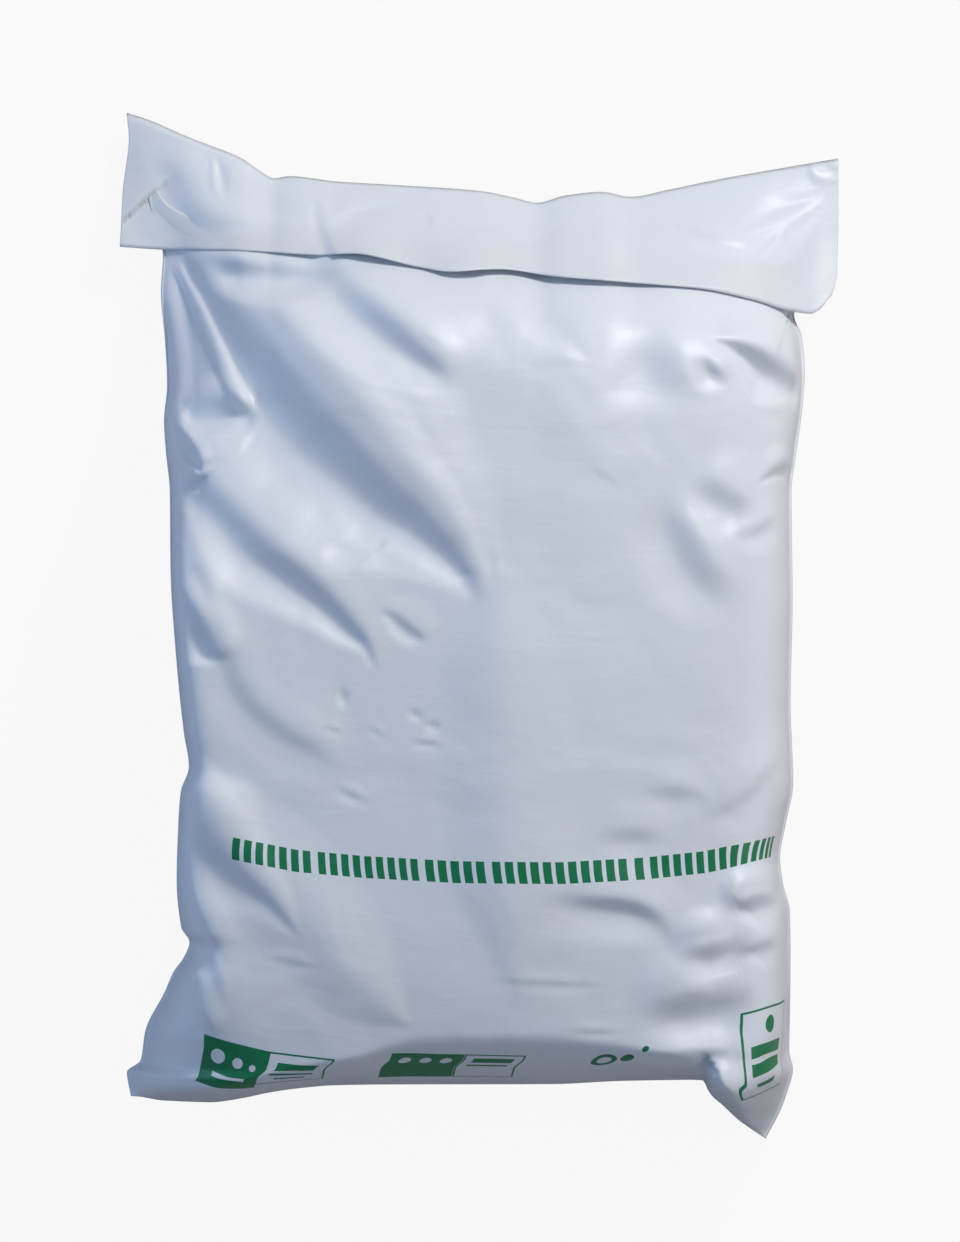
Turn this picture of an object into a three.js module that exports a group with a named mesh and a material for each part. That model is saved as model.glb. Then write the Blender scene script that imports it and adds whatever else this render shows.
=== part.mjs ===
// Poly mailer bag: a film bag for post, filled, closed and lying on its back.
// Millimetres, +Z up. The front panel looks up, the flap is towards +Y and the bottom turn towards -Y.

import * as THREE from "three";

// Film, as it is laid flat.
const film_width = 300;
const lay_length = 378.5;
const flap_depth = 50;
const weld_width = 1.2;
const sheet_build = 0.8;
const panel_gap = 0.7;

// The filled bag.
const fill_height = 98;
const seam_rise = 38;
const bottom_rise = 22;
const bottom_fade = 22;
const bottom_reach = 80;
const bottom_middle = 0.45;
const turn_start = 0.03;
const sink_power = 2.2;
const rest_share = 0.6;
const rest_round = 36;
const mouth_round = 64;
const rest_power = 1.35;
const edge_power = 1.4;
const gap_reach = 4;
const flap_gap = 1.6;
const flap_roll = 4;
const flap_fall = 0.12;
const fold_depth = 1;
const fold_from_left = 0.09;
const fold_from_right = 0.035;
const fold_from_bottom = 12;
const fold_under_flap = 15;

// Corners, in from the flat width.
const corner_top_left = 2.5;
const corner_top_right = 0;
const corner_bottom_left = 4.4;
const corner_bottom_right = 30.5;
const flap_corner_left = 0;
const flap_corner_right = 3.5;

// Cells of the surface.
const cells_across = 48;
const cells_front = 68;
const cells_back = 26;
const cells_flap = 7;
const back_crowding = 0.9;
const way_steps = 18;

const below = 0.507;
const above = 1 - below;

// The offsets and folds typed below are those of a bag 300 mm wide and 378.5 mm long. They grow with it.
const grown = film_width / 300;
const longer = lay_length / 378.5;

// Folds are drawn on a plan with this many units to the mm about this middle, y downwards.
const plan_units = 2.4;
const plan_middle = [479.5, 623.5];

// Pull-in of the side edges, mm, at shares of the lay length from the bottom line.
const left_edge = [
  [-0.012, 4.4], [0.014, 2.7], [0.027, 8.5], [0.06, 10.6], [0.104, 19], [0.142, 27], [0.159, 29.4],
  [0.175, 26], [0.225, 24.2], [0.324, 26], [0.352, 29.4], [0.39, 27.3], [0.478, 24], [0.566, 21.9],
  [0.654, 21.5], [0.731, 19], [0.77, 20.2], [0.819, 19.2], [0.874, 17.3], [0.913, 18], [0.96, 13.5],
  [1.007, 9], [1.07, 2.5],
];
const right_edge = [
  [-0.06, 30.5], [-0.028, 24], [-0.006, 21], [0.016, 19], [0.038, 20.6], [0.126, 20.6], [0.192, 21],
  [0.253, 25.2], [0.291, 22.7], [0.335, 19.8], [0.423, 21], [0.533, 20.2], [0.654, 20.6], [0.687, 19],
  [0.753, 15.6], [0.786, 14.8], [0.825, 16], [0.847, 19], [0.88, 15.6], [0.973, 3.5], [1.018, 0],
];

// Bottom line, top fold and the flap's lower edge, mm off the straight lay, at shares of the flat width.
const bottom_line = [
  [0.008, -4.6], [0.03, -5], [0.06, -6], [0.126, -6.2], [0.17, -4.4], [0.21, -1.8], [0.25, 0], [0.3, 1.3],
  [0.36, 1.6], [0.6, 1.8], [0.7, 3.1], [0.79, 3.4], [0.81, 3], [0.818, -2.4], [0.836, -7.5], [0.86, -14.5],
  [0.9, -23],
];
const top_fold = [
  [0.008, 27.6], [0.035, 25], [0.1, 16.7], [0.167, 8.7], [0.214, 0], [0.235, 0.9], [0.3, -1.3],
  [0.388, -2.9], [0.5, -5.3], [0.545, -7.9], [0.58, -10.3], [0.62, -7.2], [0.67, -5.7], [0.71, -7.8],
  [0.76, -5], [0.83, -0.6], [0.9, 3.2], [0.999, 8.3],
];
const flap_edge = [
  [0, 21.1], [0.056, 19.9], [0.181, 18.2], [0.292, 16.1], [0.32, 16.5], [0.417, 10.7], [0.459, 8.6],
  [0.528, 9.9], [0.612, 6.5], [0.737, 3.6], [0.806, 1.9], [0.876, -2.2], [0.931, -6.4], [0.959, -7.2],
  [0.987, 0.3],
];
const flap_end_left = [[0, 0], [0.22, 1.5], [0.6, 0], [1, 0]];
const flap_end_right = [[0, 0], [0.45, 1.3], [0.85, 1.9], [1, 0]];

// Gap that the lower edge of the flap adds where it stands free, mm, at shares of the flat width.
const flap_lift = [
  [0, 0.7], [0.06, 0.9], [0.12, 1.3], [0.26, 1.3], [0.29, 0.5], [0.35, 5.1], [0.42, 0.7], [0.49, 6.1],
  [0.545, 3.7], [0.6, 4.1], [0.69, 3.3], [0.77, 0.5], [0.93, 0.1], [0.96, 0.9], [1, 0.9],
];

// How far up under the flap its lower edge stands free, share of its depth.
const free_share = [
  [0, 1], [0.02, 0.74], [0.04, 0.5], [0.06, 0.37], [0.1, 0.3], [0.9, 0.3], [0.94, 0.38], [0.96, 0.54],
  [0.98, 0.8], [1, 1],
];

// Height of the side seams, share of seam_rise, and the shape of the crown along the bag.
const seam_line = [
  [-0.06, 0.1], [0, 0.16], [0.05, 0.32], [0.12, 0.63], [0.3, 0.9], [0.55, 1], [0.75, 0.84],
  [0.87, 0.58], [0.95, 0.4], [1.03, 0.27], [1.1, 0.21],
];
const crown_power = [
  [-0.05, 1], [0.05, 0.8], [0.15, 0.6], [0.3, 0.52], [0.6, 0.5], [0.75, 0.55], [0.85, 0.8],
  [0.95, 1.1], [1.05, 1.3],
];

// How square the crown is towards the left and the right side, and how far it sinks there.
const square_left = [
  [-0.05, 4], [0.05, 10], [0.14, 22], [0.3, 50], [0.56, 50], [0.64, 26], [0.72, 16], [0.8, 8], [0.9, 3.4],
  [1.05, 2.7],
];
const square_right = [
  [-0.05, 4], [-0.02, 8], [0.02, 20], [0.07, 28], [0.14, 24], [0.3, 20], [0.6, 16], [0.72, 12], [0.8, 8],
  [0.9, 4], [1.05, 2.7],
];
const sink_left = [[0, 0.08], [0.5, 0.08], [0.62, 0.24], [0.75, 0.48], [0.9, 0.54]];
const sink_right = [[0, 0.16], [0.15, 0.26], [0.6, 0.28], [0.9, 0.3]];

// How far the crown sinks towards the bottom, and the radius of the turn there, mm, at shares of the width.
const bottom_slope = [[0.1, 0.16], [0.45, 0.14], [0.62, 0.08], [0.9, 0.04]];
const bottom_round = [
  [0.05, 9], [0.2, 11], [0.32, 15], [0.42, 24], [0.6, 25], [0.7, 19], [0.78, 13], [0.86, 10],
];
const crown_top = [
  [0, 0], [0.035, 0.15], [0.08, 0.43], [0.132, 0.72], [0.16, 0.79], [0.21, 0.86], [0.3, 0.92], [0.45, 0.975],
  [0.63, 1],
];

// Folds of the front panel. "way" is the line of the crest or crease, "across" its section as mm to the left
// of the way and mm of height, "size" its size along the way, and "soft" the share of the way over which each
// end dies out, or 0.
const panel_folds = [
  { way: [[172, 232], [196, 250], [224, 270], [254, 298], [283, 327], [309, 357], [333, 385], [360, 416],
      [390, 452], [412, 477], [437, 502], [462, 540], [478, 572], [483, 606]],
    across: [[-66, 0], [-46, -3.2], [-26, -7.8], [-4, 4.2], [4, 5.8], [18, 3], [42, 0]],
    size: [[0, 0.5], [0.12, 0.72], [0.25, 0.92], [0.4, 1.15], [0.5, 1.2], [0.6, 1.06], [0.7, 0.86],
      [0.8, 0.64], [0.9, 0.36], [1, 0.1]], soft: 0.08 },
  { way: [[172, 256], [179, 270], [190, 292], [204, 318], [219, 350], [233, 382], [245, 404], [254, 420]],
    across: [[-34, 0], [-22, -5], [-9, -1.8], [0, 3.4], [10, -1.2], [22, 0]],
    size: [[0, 0.6], [0.3, 0.85], [0.75, 0.95], [1, 0.7]], soft: 0.1 },
  { way: [[182, 420], [212, 421], [238, 421], [262, 424]],
    across: [[-18, 0], [-8, 1.2], [0, -3], [12, 2.4], [22, 0]],
    size: [[0, 0.6], [0.4, 1], [0.8, 0.9], [1, 0.4]], soft: 0.15 },
  { way: [[180, 422], [196, 441], [210, 464], [238, 492], [268, 522], [304, 556], [337, 588], [362, 620],
      [373, 638], [377, 654]],
    across: [[-44, 0], [-21, -6], [-3, 4.6], [1, 5.4], [26, 2.6], [60, 0]],
    size: [[0, 0.24], [0.12, 0.62], [0.3, 0.78], [0.45, 0.78], [0.6, 0.66], [0.75, 0.5], [0.88, 0.34],
      [1, 0.1]], soft: 0 },
  { way: [[226, 596], [238, 640], [260, 688], [290, 716], [322, 736], [350, 762]],
    across: [[-24, 0], [-10, -0.9], [-1, 1.3], [1, 1.4], [12, 0.4], [24, 0]],
    size: [[0, 0.6], [0.4, 1], [0.7, 1], [1, 0.6]], soft: 0.25 },
  { way: [[182, 580], [203, 600], [219, 626], [231, 660]],
    across: [[-28, 0], [-12, -4.2], [0, 2.4], [14, 0]],
    size: [[0, 0.6], [0.5, 0.95], [0.8, 0.8], [1, 0.3]], soft: 0.12 },
  { way: [[186, 498], [204, 540], [218, 578], [228, 612]],
    across: [[-20, 0], [-8, -1.1], [0, 1.1], [14, 0]],
    size: [[0, 0.6], [0.5, 1], [1, 0.6]], soft: 0.35 },
  { way: [[382, 604], [403, 613], [421, 627], [431, 640]],
    across: [[-11, 0], [-5, -1.2], [0, 0.9], [12, 0]],
    size: [[0, 0.4], [0.6, 1], [0.85, 0.8], [1, 0.4]], soft: 0.2 },
  { way: [[204, 246], [248, 251], [292, 257], [340, 266]],
    across: [[-24, 0], [-13, -7], [-2, 4.6], [3, 4.6], [14, 0]],
    size: [[0, 0.8], [0.5, 1], [0.8, 0.8], [1, 0.6]], soft: 0.3 },
  { way: [[318, 212], [334, 240], [352, 264], [375, 289], [402, 315], [428, 341], [448, 364], [466, 390]],
    across: [[-38, 0], [-17, -6], [-2, 4.4], [2, 5], [18, 2.4], [44, 0]],
    size: [[0, 0.9], [0.4, 0.95], [0.6, 0.9], [0.75, 0.75], [0.9, 0.5], [1, 0.4]], soft: 0.2 },
  { way: [[440, 350], [490, 385], [540, 424], [590, 466]],
    across: [[-46, 0], [-14, -0.8], [12, 0.5], [46, 0]],
    size: [[0, 0.3], [0.5, 1], [1, 0.4]], soft: 0 },
  { way: [[498, 284], [540, 320], [584, 360]],
    across: [[-24, 0], [-10, 0.9], [0, -0.6], [12, 0]],
    size: [[0, 0.5], [0.6, 1], [1, 0.2]], soft: 0 },
  { way: [[198, 776], [214, 806], [232, 834], [256, 862], [280, 888], [303, 924]],
    across: [[-34, 0], [-13, -1.8], [-2, 2.7], [1, 3.1], [18, 0]],
    size: [[0, 0.7], [0.2, 1.3], [0.45, 1], [0.75, 0.5], [1, 0.1]], soft: 0 },
  { way: [[200, 772], [229, 808], [262, 850], [298, 898], [330, 938], [364, 978], [405, 1012]],
    across: [[-22, 0], [-3, 2.6], [1, 3], [28, 0]],
    size: [[0, 0.3], [0.2, 0.8], [0.5, 1.1], [0.75, 0.95], [0.9, 0.6], [1, 0.15]], soft: 0 },
  { way: [[190, 862], [208, 906], [224, 952], [238, 1004]],
    across: [[-18, 0], [-7, -1.6], [0, 1.5], [14, 0]],
    size: [[0, 0.6], [0.5, 1], [1, 0.6]], soft: 0.35 },
  { way: [[192, 940], [206, 972], [210, 1002], [221, 1028]],
    across: [[-20, 0], [-7, -2.4], [0, 2], [14, 0]],
    size: [[0, 0.7], [0.5, 1], [1, 0.4]], soft: 0.15 },
  { way: [[714, 341], [740, 340], [765, 345], [786, 355], [808, 372]],
    across: [[-25, 0], [-15, -9], [-1, 7], [1, 7.2], [16, 3.4], [36, 0]],
    size: [[0, 0.12], [0.3, 0.7], [0.6, 1.05], [0.85, 1], [1, 0.8]], soft: 0 },
  { way: [[696, 350], [712, 368], [730, 386]],
    across: [[-14, 0], [-5, -2], [1, 1.8], [12, 0]],
    size: [[0, 0.7], [0.5, 1], [1, 0.7]], soft: 0.5 },
  { way: [[650, 318], [674, 360], [694, 412]],
    across: [[-40, 0], [-15, -2.2], [4, 1.9], [34, 0]],
    size: [[0, 0.7], [0.5, 1], [1, 0.7]], soft: 0.45 },
  { way: [[748, 408], [772, 403], [798, 410]],
    across: [[-15, 0], [-5, -0.9], [1, 0.8], [12, 0]],
    size: [[0, 0.7], [0.5, 1], [1, 0.7]], soft: 0.4 },
  { way: [[760, 476], [771, 465], [784, 461], [798, 464]],
    across: [[-15, 0], [-6, -3.4], [0, 2.8], [9, 0]],
    size: [[0, 0.3], [0.5, 1], [1, 1]], soft: 0 },
  { way: [[688, 466], [724, 484], [766, 508]],
    across: [[-26, 0], [-12, -2.2], [0, 1.9], [18, 0]],
    size: [[0, 0.8], [0.5, 1], [1, 0.8]], soft: 0.4 },
  { way: [[672, 482], [692, 524], [714, 562], [744, 600]],
    across: [[-34, 0], [-15, -2.2], [0, 2], [8, 0.9], [22, 0]],
    size: [[0, 0.8], [0.5, 1], [1, 0.8]], soft: 0.35 },
  { way: [[724, 536], [748, 524], [776, 508]],
    across: [[-14, 0], [-6, -1.3], [0, 1.1], [10, 0]],
    size: [[0, 0.6], [0.5, 1], [1, 0.7]], soft: 0.4 },
  { way: [[534, 880], [586, 885], [632, 891], [656, 903], [672, 924], [682, 948]],
    across: [[-24, 0], [-9, -2.2], [0, 2.3], [7, 1.4], [18, 0]],
    size: [[0, 0.9], [0.6, 0.9], [0.8, 0.8], [1, 0.9]], soft: 0.45 },
  { way: [[664, 946], [690, 936], [716, 928], [742, 914]],
    across: [[-26, 0], [-10, -3.6], [0, 3], [4, 3], [16, 0]],
    size: [[0, 0.7], [0.5, 1], [1, 0.7]], soft: 0.45 },
  { way: [[716, 904], [736, 888], [760, 881], [790, 884]],
    across: [[-24, 0], [-11, -3.4], [-1, 4], [3, 4], [14, 0]],
    size: [[0, 0.3], [0.4, 0.9], [1, 0.8]], soft: 0.3 },
  { way: [[728, 952], [744, 936], [762, 930], [786, 934]],
    across: [[-18, 0], [-7, -1.8], [0, 1.6], [12, 0]],
    size: [[0, 0.4], [0.5, 1], [1, 0.7]], soft: 0.35 },
  { way: [[620, 1000], [664, 984], [712, 970], [766, 966]],
    across: [[-34, 0], [-16, -3.8], [0, 3.2], [6, 2.8], [20, 0]],
    size: [[0, 0.7], [0.5, 1], [1, 0.8]], soft: 0.4 },
  { way: [[628, 1036], [664, 1037], [706, 1035], [750, 1040]],
    across: [[-16, 0], [-7, -1.2], [-1, 1.8], [2, 1.6], [12, 0]],
    size: [[0, 0.5], [0.5, 1], [1, 0.6]], soft: 0.4 },
  { way: [[586, 832], [630, 824], [670, 832]],
    across: [[-18, 0], [-6, -1], [2, 0.9], [16, 0]],
    size: [[0, 0.6], [0.5, 1], [1, 0.6]], soft: 0.45 },
  { way: [[636, 788], [672, 784], [710, 790]],
    across: [[-15, 0], [-5, -0.8], [2, 0.7], [13, 0]],
    size: [[0, 0.6], [0.5, 1], [1, 0.6]], soft: 0.45 },
  { way: [[694, 816], [728, 796], [756, 768], [784, 742]],
    across: [[-18, 0], [-6, -1.3], [2, 1.2], [16, 0]],
    size: [[0, 0.6], [0.5, 1], [1, 0.7]], soft: 0.4 },
  { way: [[718, 1070], [733, 1092], [760, 1101], [788, 1096]],
    across: [[-15, 0], [-8, -4], [0, 3.4], [12, 0]],
    size: [[0, 1], [0.4, 1.1], [1, 0.5]], soft: 0 },
  { way: [[724, 1100], [745, 1112], [766, 1136]],
    across: [[-12, 0], [-4, 1.4], [1, -1.6], [10, 0]],
    size: [[0, 0.4], [0.5, 1], [1, 0.5]], soft: 0 },
  { way: [[497, 590], [503, 700], [508, 800], [514, 960]],
    across: [[-60, 0], [-30, 0.4], [0, 4.2], [34, 1.2], [70, 0]],
    size: [[0, 0.4], [0.2, 0.9], [0.7, 1], [1, 0.3]], soft: 0 },
];

// Creases of the flap, in the same terms.
const flap_folds = [
  { way: [[146, 138], [170, 150], [187, 161], [197, 182], [207, 200], [230, 211], [258, 218], [290, 232],
      [325, 252]],
    across: [[-46, 0], [-28, -2.2], [-14, -2.9], [-3, 0.8], [0, 1.1], [10, 0]],
    size: [[0, 0.5], [0.3, 1], [0.6, 0.8], [1, 0.3]], soft: 0.3 },
  { way: [[317, 196], [321, 222], [326, 240], [333, 257]],
    across: [[-7, 0], [-1.6, -1.5], [1.8, 1.2], [12, 0]],
    size: [[0, 0.2], [0.6, 1], [1, 0.8]], soft: 0 },
  { way: [[327, 226], [358, 208], [404, 198]],
    across: [[-12, 0], [-2, -0.8], [2, 0.8], [12, 0]],
    size: [[0, 0.1], [0.4, 1], [1, 0.2]], soft: 0 },
];

function mix(a, b, t) {
  return a + (b - a) * t;
}

function clamp(t, low, high) {
  return Math.min(Math.max(t, low), high);
}

function ease(low, high, t) {
  const s = clamp((t - low) / (high - low), 0, 1);
  return s * s * (3 - 2 * s);
}

// A smooth line through hand-picked points, flat where they turn back.
function curve(points, at, flat_ends = false) {
  const last = points.length - 1;
  const t = clamp(at, points[0][0], points[last][0]);
  let i = 0;
  while (i < last - 1 && t > points[i + 1][0]) i += 1;
  const rise = (k) => (points[k + 1][1] - points[k][1]) / (points[k + 1][0] - points[k][0]);
  const slope = (k) => {
    if (k === 0) return flat_ends ? 0 : rise(0);
    if (k === last) return flat_ends ? 0 : rise(last - 1);
    const a = rise(k - 1);
    const b = rise(k);
    return a * b <= 0 ? 0 : (2 * a * b) / (a + b);
  };
  const width = points[i + 1][0] - points[i][0];
  const s = (t - points[i][0]) / width;
  const low = points[i][1] * (1 + 2 * s) * (1 - s) ** 2 + slope(i) * width * s * (1 - s) ** 2;
  return low + points[i + 1][1] * s * s * (3 - 2 * s) + slope(i + 1) * width * s * s * (s - 1);
}

const share_x = (x) => x / film_width + 0.5;
const share_y = (y) => y / lay_length + below;
const left_x = (y) => -film_width / 2 + curve(left_edge, share_y(y)) * grown;
const right_x = (y) => film_width / 2 - curve(right_edge, share_y(y)) * grown;
const bottom_y = (x) => -below * lay_length + curve(bottom_line, share_x(x)) * grown;
const top_y = (x) => above * lay_length + curve(top_fold, share_x(x)) * grown;
const flap_y = (x) => above * lay_length - flap_depth + curve(flap_edge, share_x(x)) * grown;

// The way of a fold, rounded through its points.
function way_points(way) {
  const knots = way.map(([across, down]) => new THREE.Vector3(
    ((across - plan_middle[0]) / plan_units) * grown,
    ((plan_middle[1] - down) / plan_units) * longer,
    0,
  ));
  return new THREE.CatmullRomCurve3(knots, false, "catmullrom", 0.5).getSpacedPoints(way_steps);
}

// Distance to the left of a way, and the share of the way passed there.
function beside(way, x, y) {
  let near = Infinity;
  let off = 0;
  let passed = 0;
  const step = 1 / (way.length - 1);
  for (let i = 0; i < way.length - 1; i += 1) {
    const dx = way[i + 1].x - way[i].x;
    const dy = way[i + 1].y - way[i].y;
    const long = Math.hypot(dx, dy);
    const along = clamp(((x - way[i].x) * dx + (y - way[i].y) * dy) / long, 0, long);
    const ex = x - way[i].x - (dx / long) * along;
    const ey = y - way[i].y - (dy / long) * along;
    const away = Math.hypot(ex, ey);
    if (away < near) {
      near = away;
      off = dx * ey - dy * ex < 0 ? -away : away;
      passed = (i + along / long) * step;
    }
  }
  return { off, passed };
}

function folded(folds, x, y) {
  let height = 0;
  for (const one of folds) {
    const { off, passed } = beside(one.line, x, y);
    const size = curve(one.size, passed);
    const at = off / size / grown;
    if (at > one.across[0][0] && at < one.across[one.across.length - 1][0]) {
      const ends = one.soft > 0 ? ease(0, one.soft, passed) * ease(0, one.soft, 1 - passed) : 1;
      height += curve(one.across, at, true) * size * ends;
    }
  }
  return height * fold_depth * grown;
}

for (const one of [...panel_folds, ...flap_folds]) one.line = way_points(one.way);

// How full the bag is at a place: 0 at its edges, 1 where it is at its highest.
function fullness(x, y) {
  const left = left_x(y) + weld_width;
  const right = right_x(y) - weld_width;
  const across = (x - (left + right) / 2) / ((right - left) / 2);
  const off = clamp(Math.abs(across), 0, 1);
  const share = share_y(y);
  const square = curve(across < 0 ? square_left : square_right, share);
  const sink = curve(across < 0 ? sink_left : sink_right, share);
  const side = (1 - off ** square) ** curve(crown_power, share) * (1 - sink * off ** sink_power);
  const top = curve(crown_top, Math.max(top_y(x) - y, 0) / lay_length);
  const up = Math.max(y - bottom_y(x), 0);
  const slope = 1 - curve(bottom_slope, share_x(x)) * (1 - clamp(up / bottom_reach, 0, 1)) ** 2;
  const turn = clamp(up / curve(bottom_round, share_x(x)) / grown + turn_start, 0, 1);
  return { across, off, full: side * top * slope * Math.sqrt(1 - (1 - turn) ** 2) };
}

// Height of the line where the front and back panels meet, carried inwards.
function edge_height(x, y) {
  const middle = 1 - Math.abs(2 * (share_x(x) - bottom_middle)) ** 3;
  const near_bottom = Math.exp(-Math.max(y - bottom_y(x), 0) / bottom_fade);
  return seam_rise * curve(seam_line, share_y(y)) + bottom_rise * Math.max(middle, 0) * near_bottom;
}

// The folds die out at the edges and under the flap.
function front_height(x, y) {
  const edge = edge_height(x, y);
  const { across, full } = fullness(x, y);
  const at_side = ease(0, fold_from_left, 1 + across) * ease(0, fold_from_right, 1 - across);
  const at_bottom = ease(0, fold_from_bottom, y - bottom_y(x));
  const at_flap = ease(-fold_under_flap, 0, flap_y(x) - y);
  return edge + (fill_height - edge) * full + at_side * at_bottom * at_flap * folded(panel_folds, x, y);
}

// The back panel lies flat on the ground and turns up to the edges.
function back_height(x, y) {
  const { off } = fullness(x, y);
  const side = clamp((off - rest_share) / (1 - rest_share), 0, 1) ** rest_power;
  const bottom = clamp(1 - (y - bottom_y(x)) / rest_round, 0, 1) ** edge_power;
  const top = clamp(1 - (top_y(x) - y) / mouth_round, 0, 1) ** edge_power;
  const height = edge_height(x, y) * (1 - (1 - side) * (1 - bottom) * (1 - top));
  return Math.max(height - panel_gap * Math.min(height / gap_reach, 1), 0);
}

// Underside of the flap: it follows the front panel and reaches past the bag's sides.
function flap_height(x, y, free) {
  const inside = (reach) => flap_roll * (0.4 + Math.log1p(Math.exp(reach / flap_roll - 1)));
  const past_left = left_x(y) + inside(x - left_x(y));
  const on_bag = right_x(y) - inside(right_x(y) - past_left);
  const lift = flap_gap + curve(flap_lift, share_x(x)) * free * grown;
  return front_height(on_bag, y) + folded(flap_folds, x, y) + lift - Math.abs(x - on_bag) * flap_fall;
}

// Shares across the bag and along the front panel, closer together where it is steep.
const across_steps = [
  [0, 0], [0.03, 0.012], [0.07, 0.031], [0.12, 0.062], [0.2, 0.13], [0.5, 0.5], [0.8, 0.87], [0.88, 0.938],
  [0.93, 0.969], [0.97, 0.988], [1, 1],
];
const along_steps = [
  [0, 0], [0.025, 0.004], [0.05, 0.012], [0.09, 0.033], [0.14, 0.07], [0.2, 0.125], [1, 1],
];

const corner = {
  top_left: -film_width / 2 + corner_top_left,
  top_right: film_width / 2 - corner_top_right,
  bottom_left: -film_width / 2 + corner_bottom_left,
  bottom_right: film_width / 2 - corner_bottom_right,
  flap_left: -film_width / 2 + flap_corner_left,
  flap_right: film_width / 2 - flap_corner_right,
};

function bottom_point(u) {
  const x = mix(corner.bottom_left, corner.bottom_right, u);
  return [x, bottom_y(x)];
}

function top_point(u) {
  const x = mix(corner.top_left, corner.top_right, u);
  return [x, top_y(x)];
}

function flap_point(u) {
  const x = mix(corner.flap_left, corner.flap_right, u);
  return [x, flap_y(x)];
}

// The line under the flap where it meets the front panel.
function inner_point(u) {
  const [x, top] = top_point(u);
  return [x, mix(flap_y(x), top, curve(free_share, u))];
}

// A place on the front or back panel, which runs from the bottom line to the given upper line.
function panel_place(u, t, upper) {
  const end = [bottom_point, null, upper][t === 0 ? 0 : t === 1 ? 2 : 1];
  const left = end ? end(0)[0] : left_x(mix(bottom_point(0)[1], upper(0)[1], t));
  const right = end ? end(1)[0] : right_x(mix(bottom_point(1)[1], upper(1)[1], t));
  return [mix(left, right, u), mix(bottom_point(u)[1], upper(u)[1], t)];
}

const vertices = [];
const faces = [];

function vertex(x, y, z) {
  vertices.push(x, y, z);
  return vertices.length / 3 - 1;
}

function cell(a, b, c, d, turn) {
  const slant = turn ? [[a, b, d], [b, c, d]] : [[a, b, c], [a, c, d]];
  for (const three of slant) {
    if (new Set(three).size === 3) faces.push(...three);
  }
}

// Rows of vertices from left to right. The panels share their side edges, bottom line and upper lines.
function build_rows() {
  const shares = [];
  for (let i = 0; i <= cells_across; i += 1) shares.push(curve(across_steps, i / cells_across));
  shares[0] = 0;
  shares[cells_across] = 1;

  const front = [];
  for (let j = 0; j <= cells_front; j += 1) {
    const t = j === cells_front ? 1 : curve(along_steps, j / cells_front);
    front.push(shares.map((u) => {
      const [x, y] = panel_place(u, t, inner_point);
      const on_edge = j === 0 || u === 0 || u === 1;
      return vertex(x, y, on_edge ? edge_height(x, y) : front_height(x, y));
    }));
  }

  const rows_back = [{ row: front[0], from: 0, to: 0 }];
  for (let j = 1; j <= cells_back; j += 1) {
    const to = Math.min(Math.round((j / cells_back) ** back_crowding * cells_front), cells_front);
    const t = to === cells_front ? 1 : curve(along_steps, to / cells_front);
    const row = shares.map((u, i) => {
      if (i === 0 || i === cells_across) return front[to][i];
      const [x, y] = panel_place(u, t, top_point);
      return vertex(x, y, t === 1 ? edge_height(x, y) : back_height(x, y));
    });
    rows_back.push({ row, from: rows_back[j - 1].to, to });
  }
  return { shares, front, rows_back };
}

const { shares, front, rows_back } = build_rows();

// Front panel.
for (let j = 0; j < cells_front; j += 1) {
  for (let i = 0; i < cells_across; i += 1) {
    const left_half = i < cells_across / 2;
    cell(front[j][i], front[j][i + 1], front[j + 1][i + 1], front[j + 1][i], left_half);
  }
}

// Back panel. Its side cells fan out to every vertex of the shared side edge.
let lower = rows_back[0].row;
for (let j = 1; j <= cells_back; j += 1) {
  const { row, from, to } = rows_back[j];
  for (let i = 1; i < cells_across - 1; i += 1) {
    cell(lower[i], row[i], row[i + 1], lower[i + 1], false);
  }
  for (const [edge, inner, flip] of [[0, 1, false], [cells_across, cells_across - 1, true]]) {
    for (let k = from; k < to; k += 1) {
      const a = front[k][edge];
      const b = front[k + 1][edge];
      const c = k - from < (to - from) / 2 ? lower[inner] : row[inner];
      if (flip) faces.push(a, c, b);
      else faces.push(a, b, c);
    }
    const middle = front[from + Math.ceil((to - from) / 2)][edge];
    if (flip) faces.push(middle, lower[inner], row[inner]);
    else faces.push(middle, row[inner], lower[inner]);
  }
  lower = row;
}
const fold_row = lower;

// Flap: the outer face from the top fold to the lower edge, and the underside from there to the front panel.
const outer = [fold_row];
const under = [front[cells_front]];
for (let k = 1; k <= cells_flap; k += 1) {
  const w = k / cells_flap;
  const outer_row = [];
  const under_row = [];
  for (const u of shares) {
    const bend = (curve(flap_end_left, w) * (1 - u) + curve(flap_end_right, w) * u) * grown;
    const [ex, ey] = flap_point(u);
    const [tx, ty] = top_point(u);
    const [ix, iy] = inner_point(u);
    const x_out = mix(tx, ex, w) + bend;
    const y_out = mix(ty, ey, w);
    const x_in = mix(ix, ex, w) + bend;
    const y_in = mix(iy, ey, w);
    const free = ease(0.4, 1, w);
    outer_row.push(vertex(x_out, y_out, flap_height(x_out, y_out, free) + sheet_build));
    under_row.push(vertex(x_in, y_in, flap_height(x_in, y_in, ease(0, 1, w))));
  }
  outer.push(outer_row);
  under.push(under_row);
}
for (let k = 0; k < cells_flap; k += 1) {
  for (let i = 0; i < cells_across; i += 1) {
    cell(outer[k][i], outer[k + 1][i], outer[k + 1][i + 1], outer[k][i + 1], false);
    cell(under[k][i], under[k][i + 1], under[k + 1][i + 1], under[k + 1][i], false);
  }
  for (const [end, flip] of [[0, false], [cells_across, true]]) {
    const strip = [outer[k][end], under[k][end], under[k + 1][end], outer[k + 1][end]];
    if (flip) strip.reverse();
    cell(...strip, false);
  }
}
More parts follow.
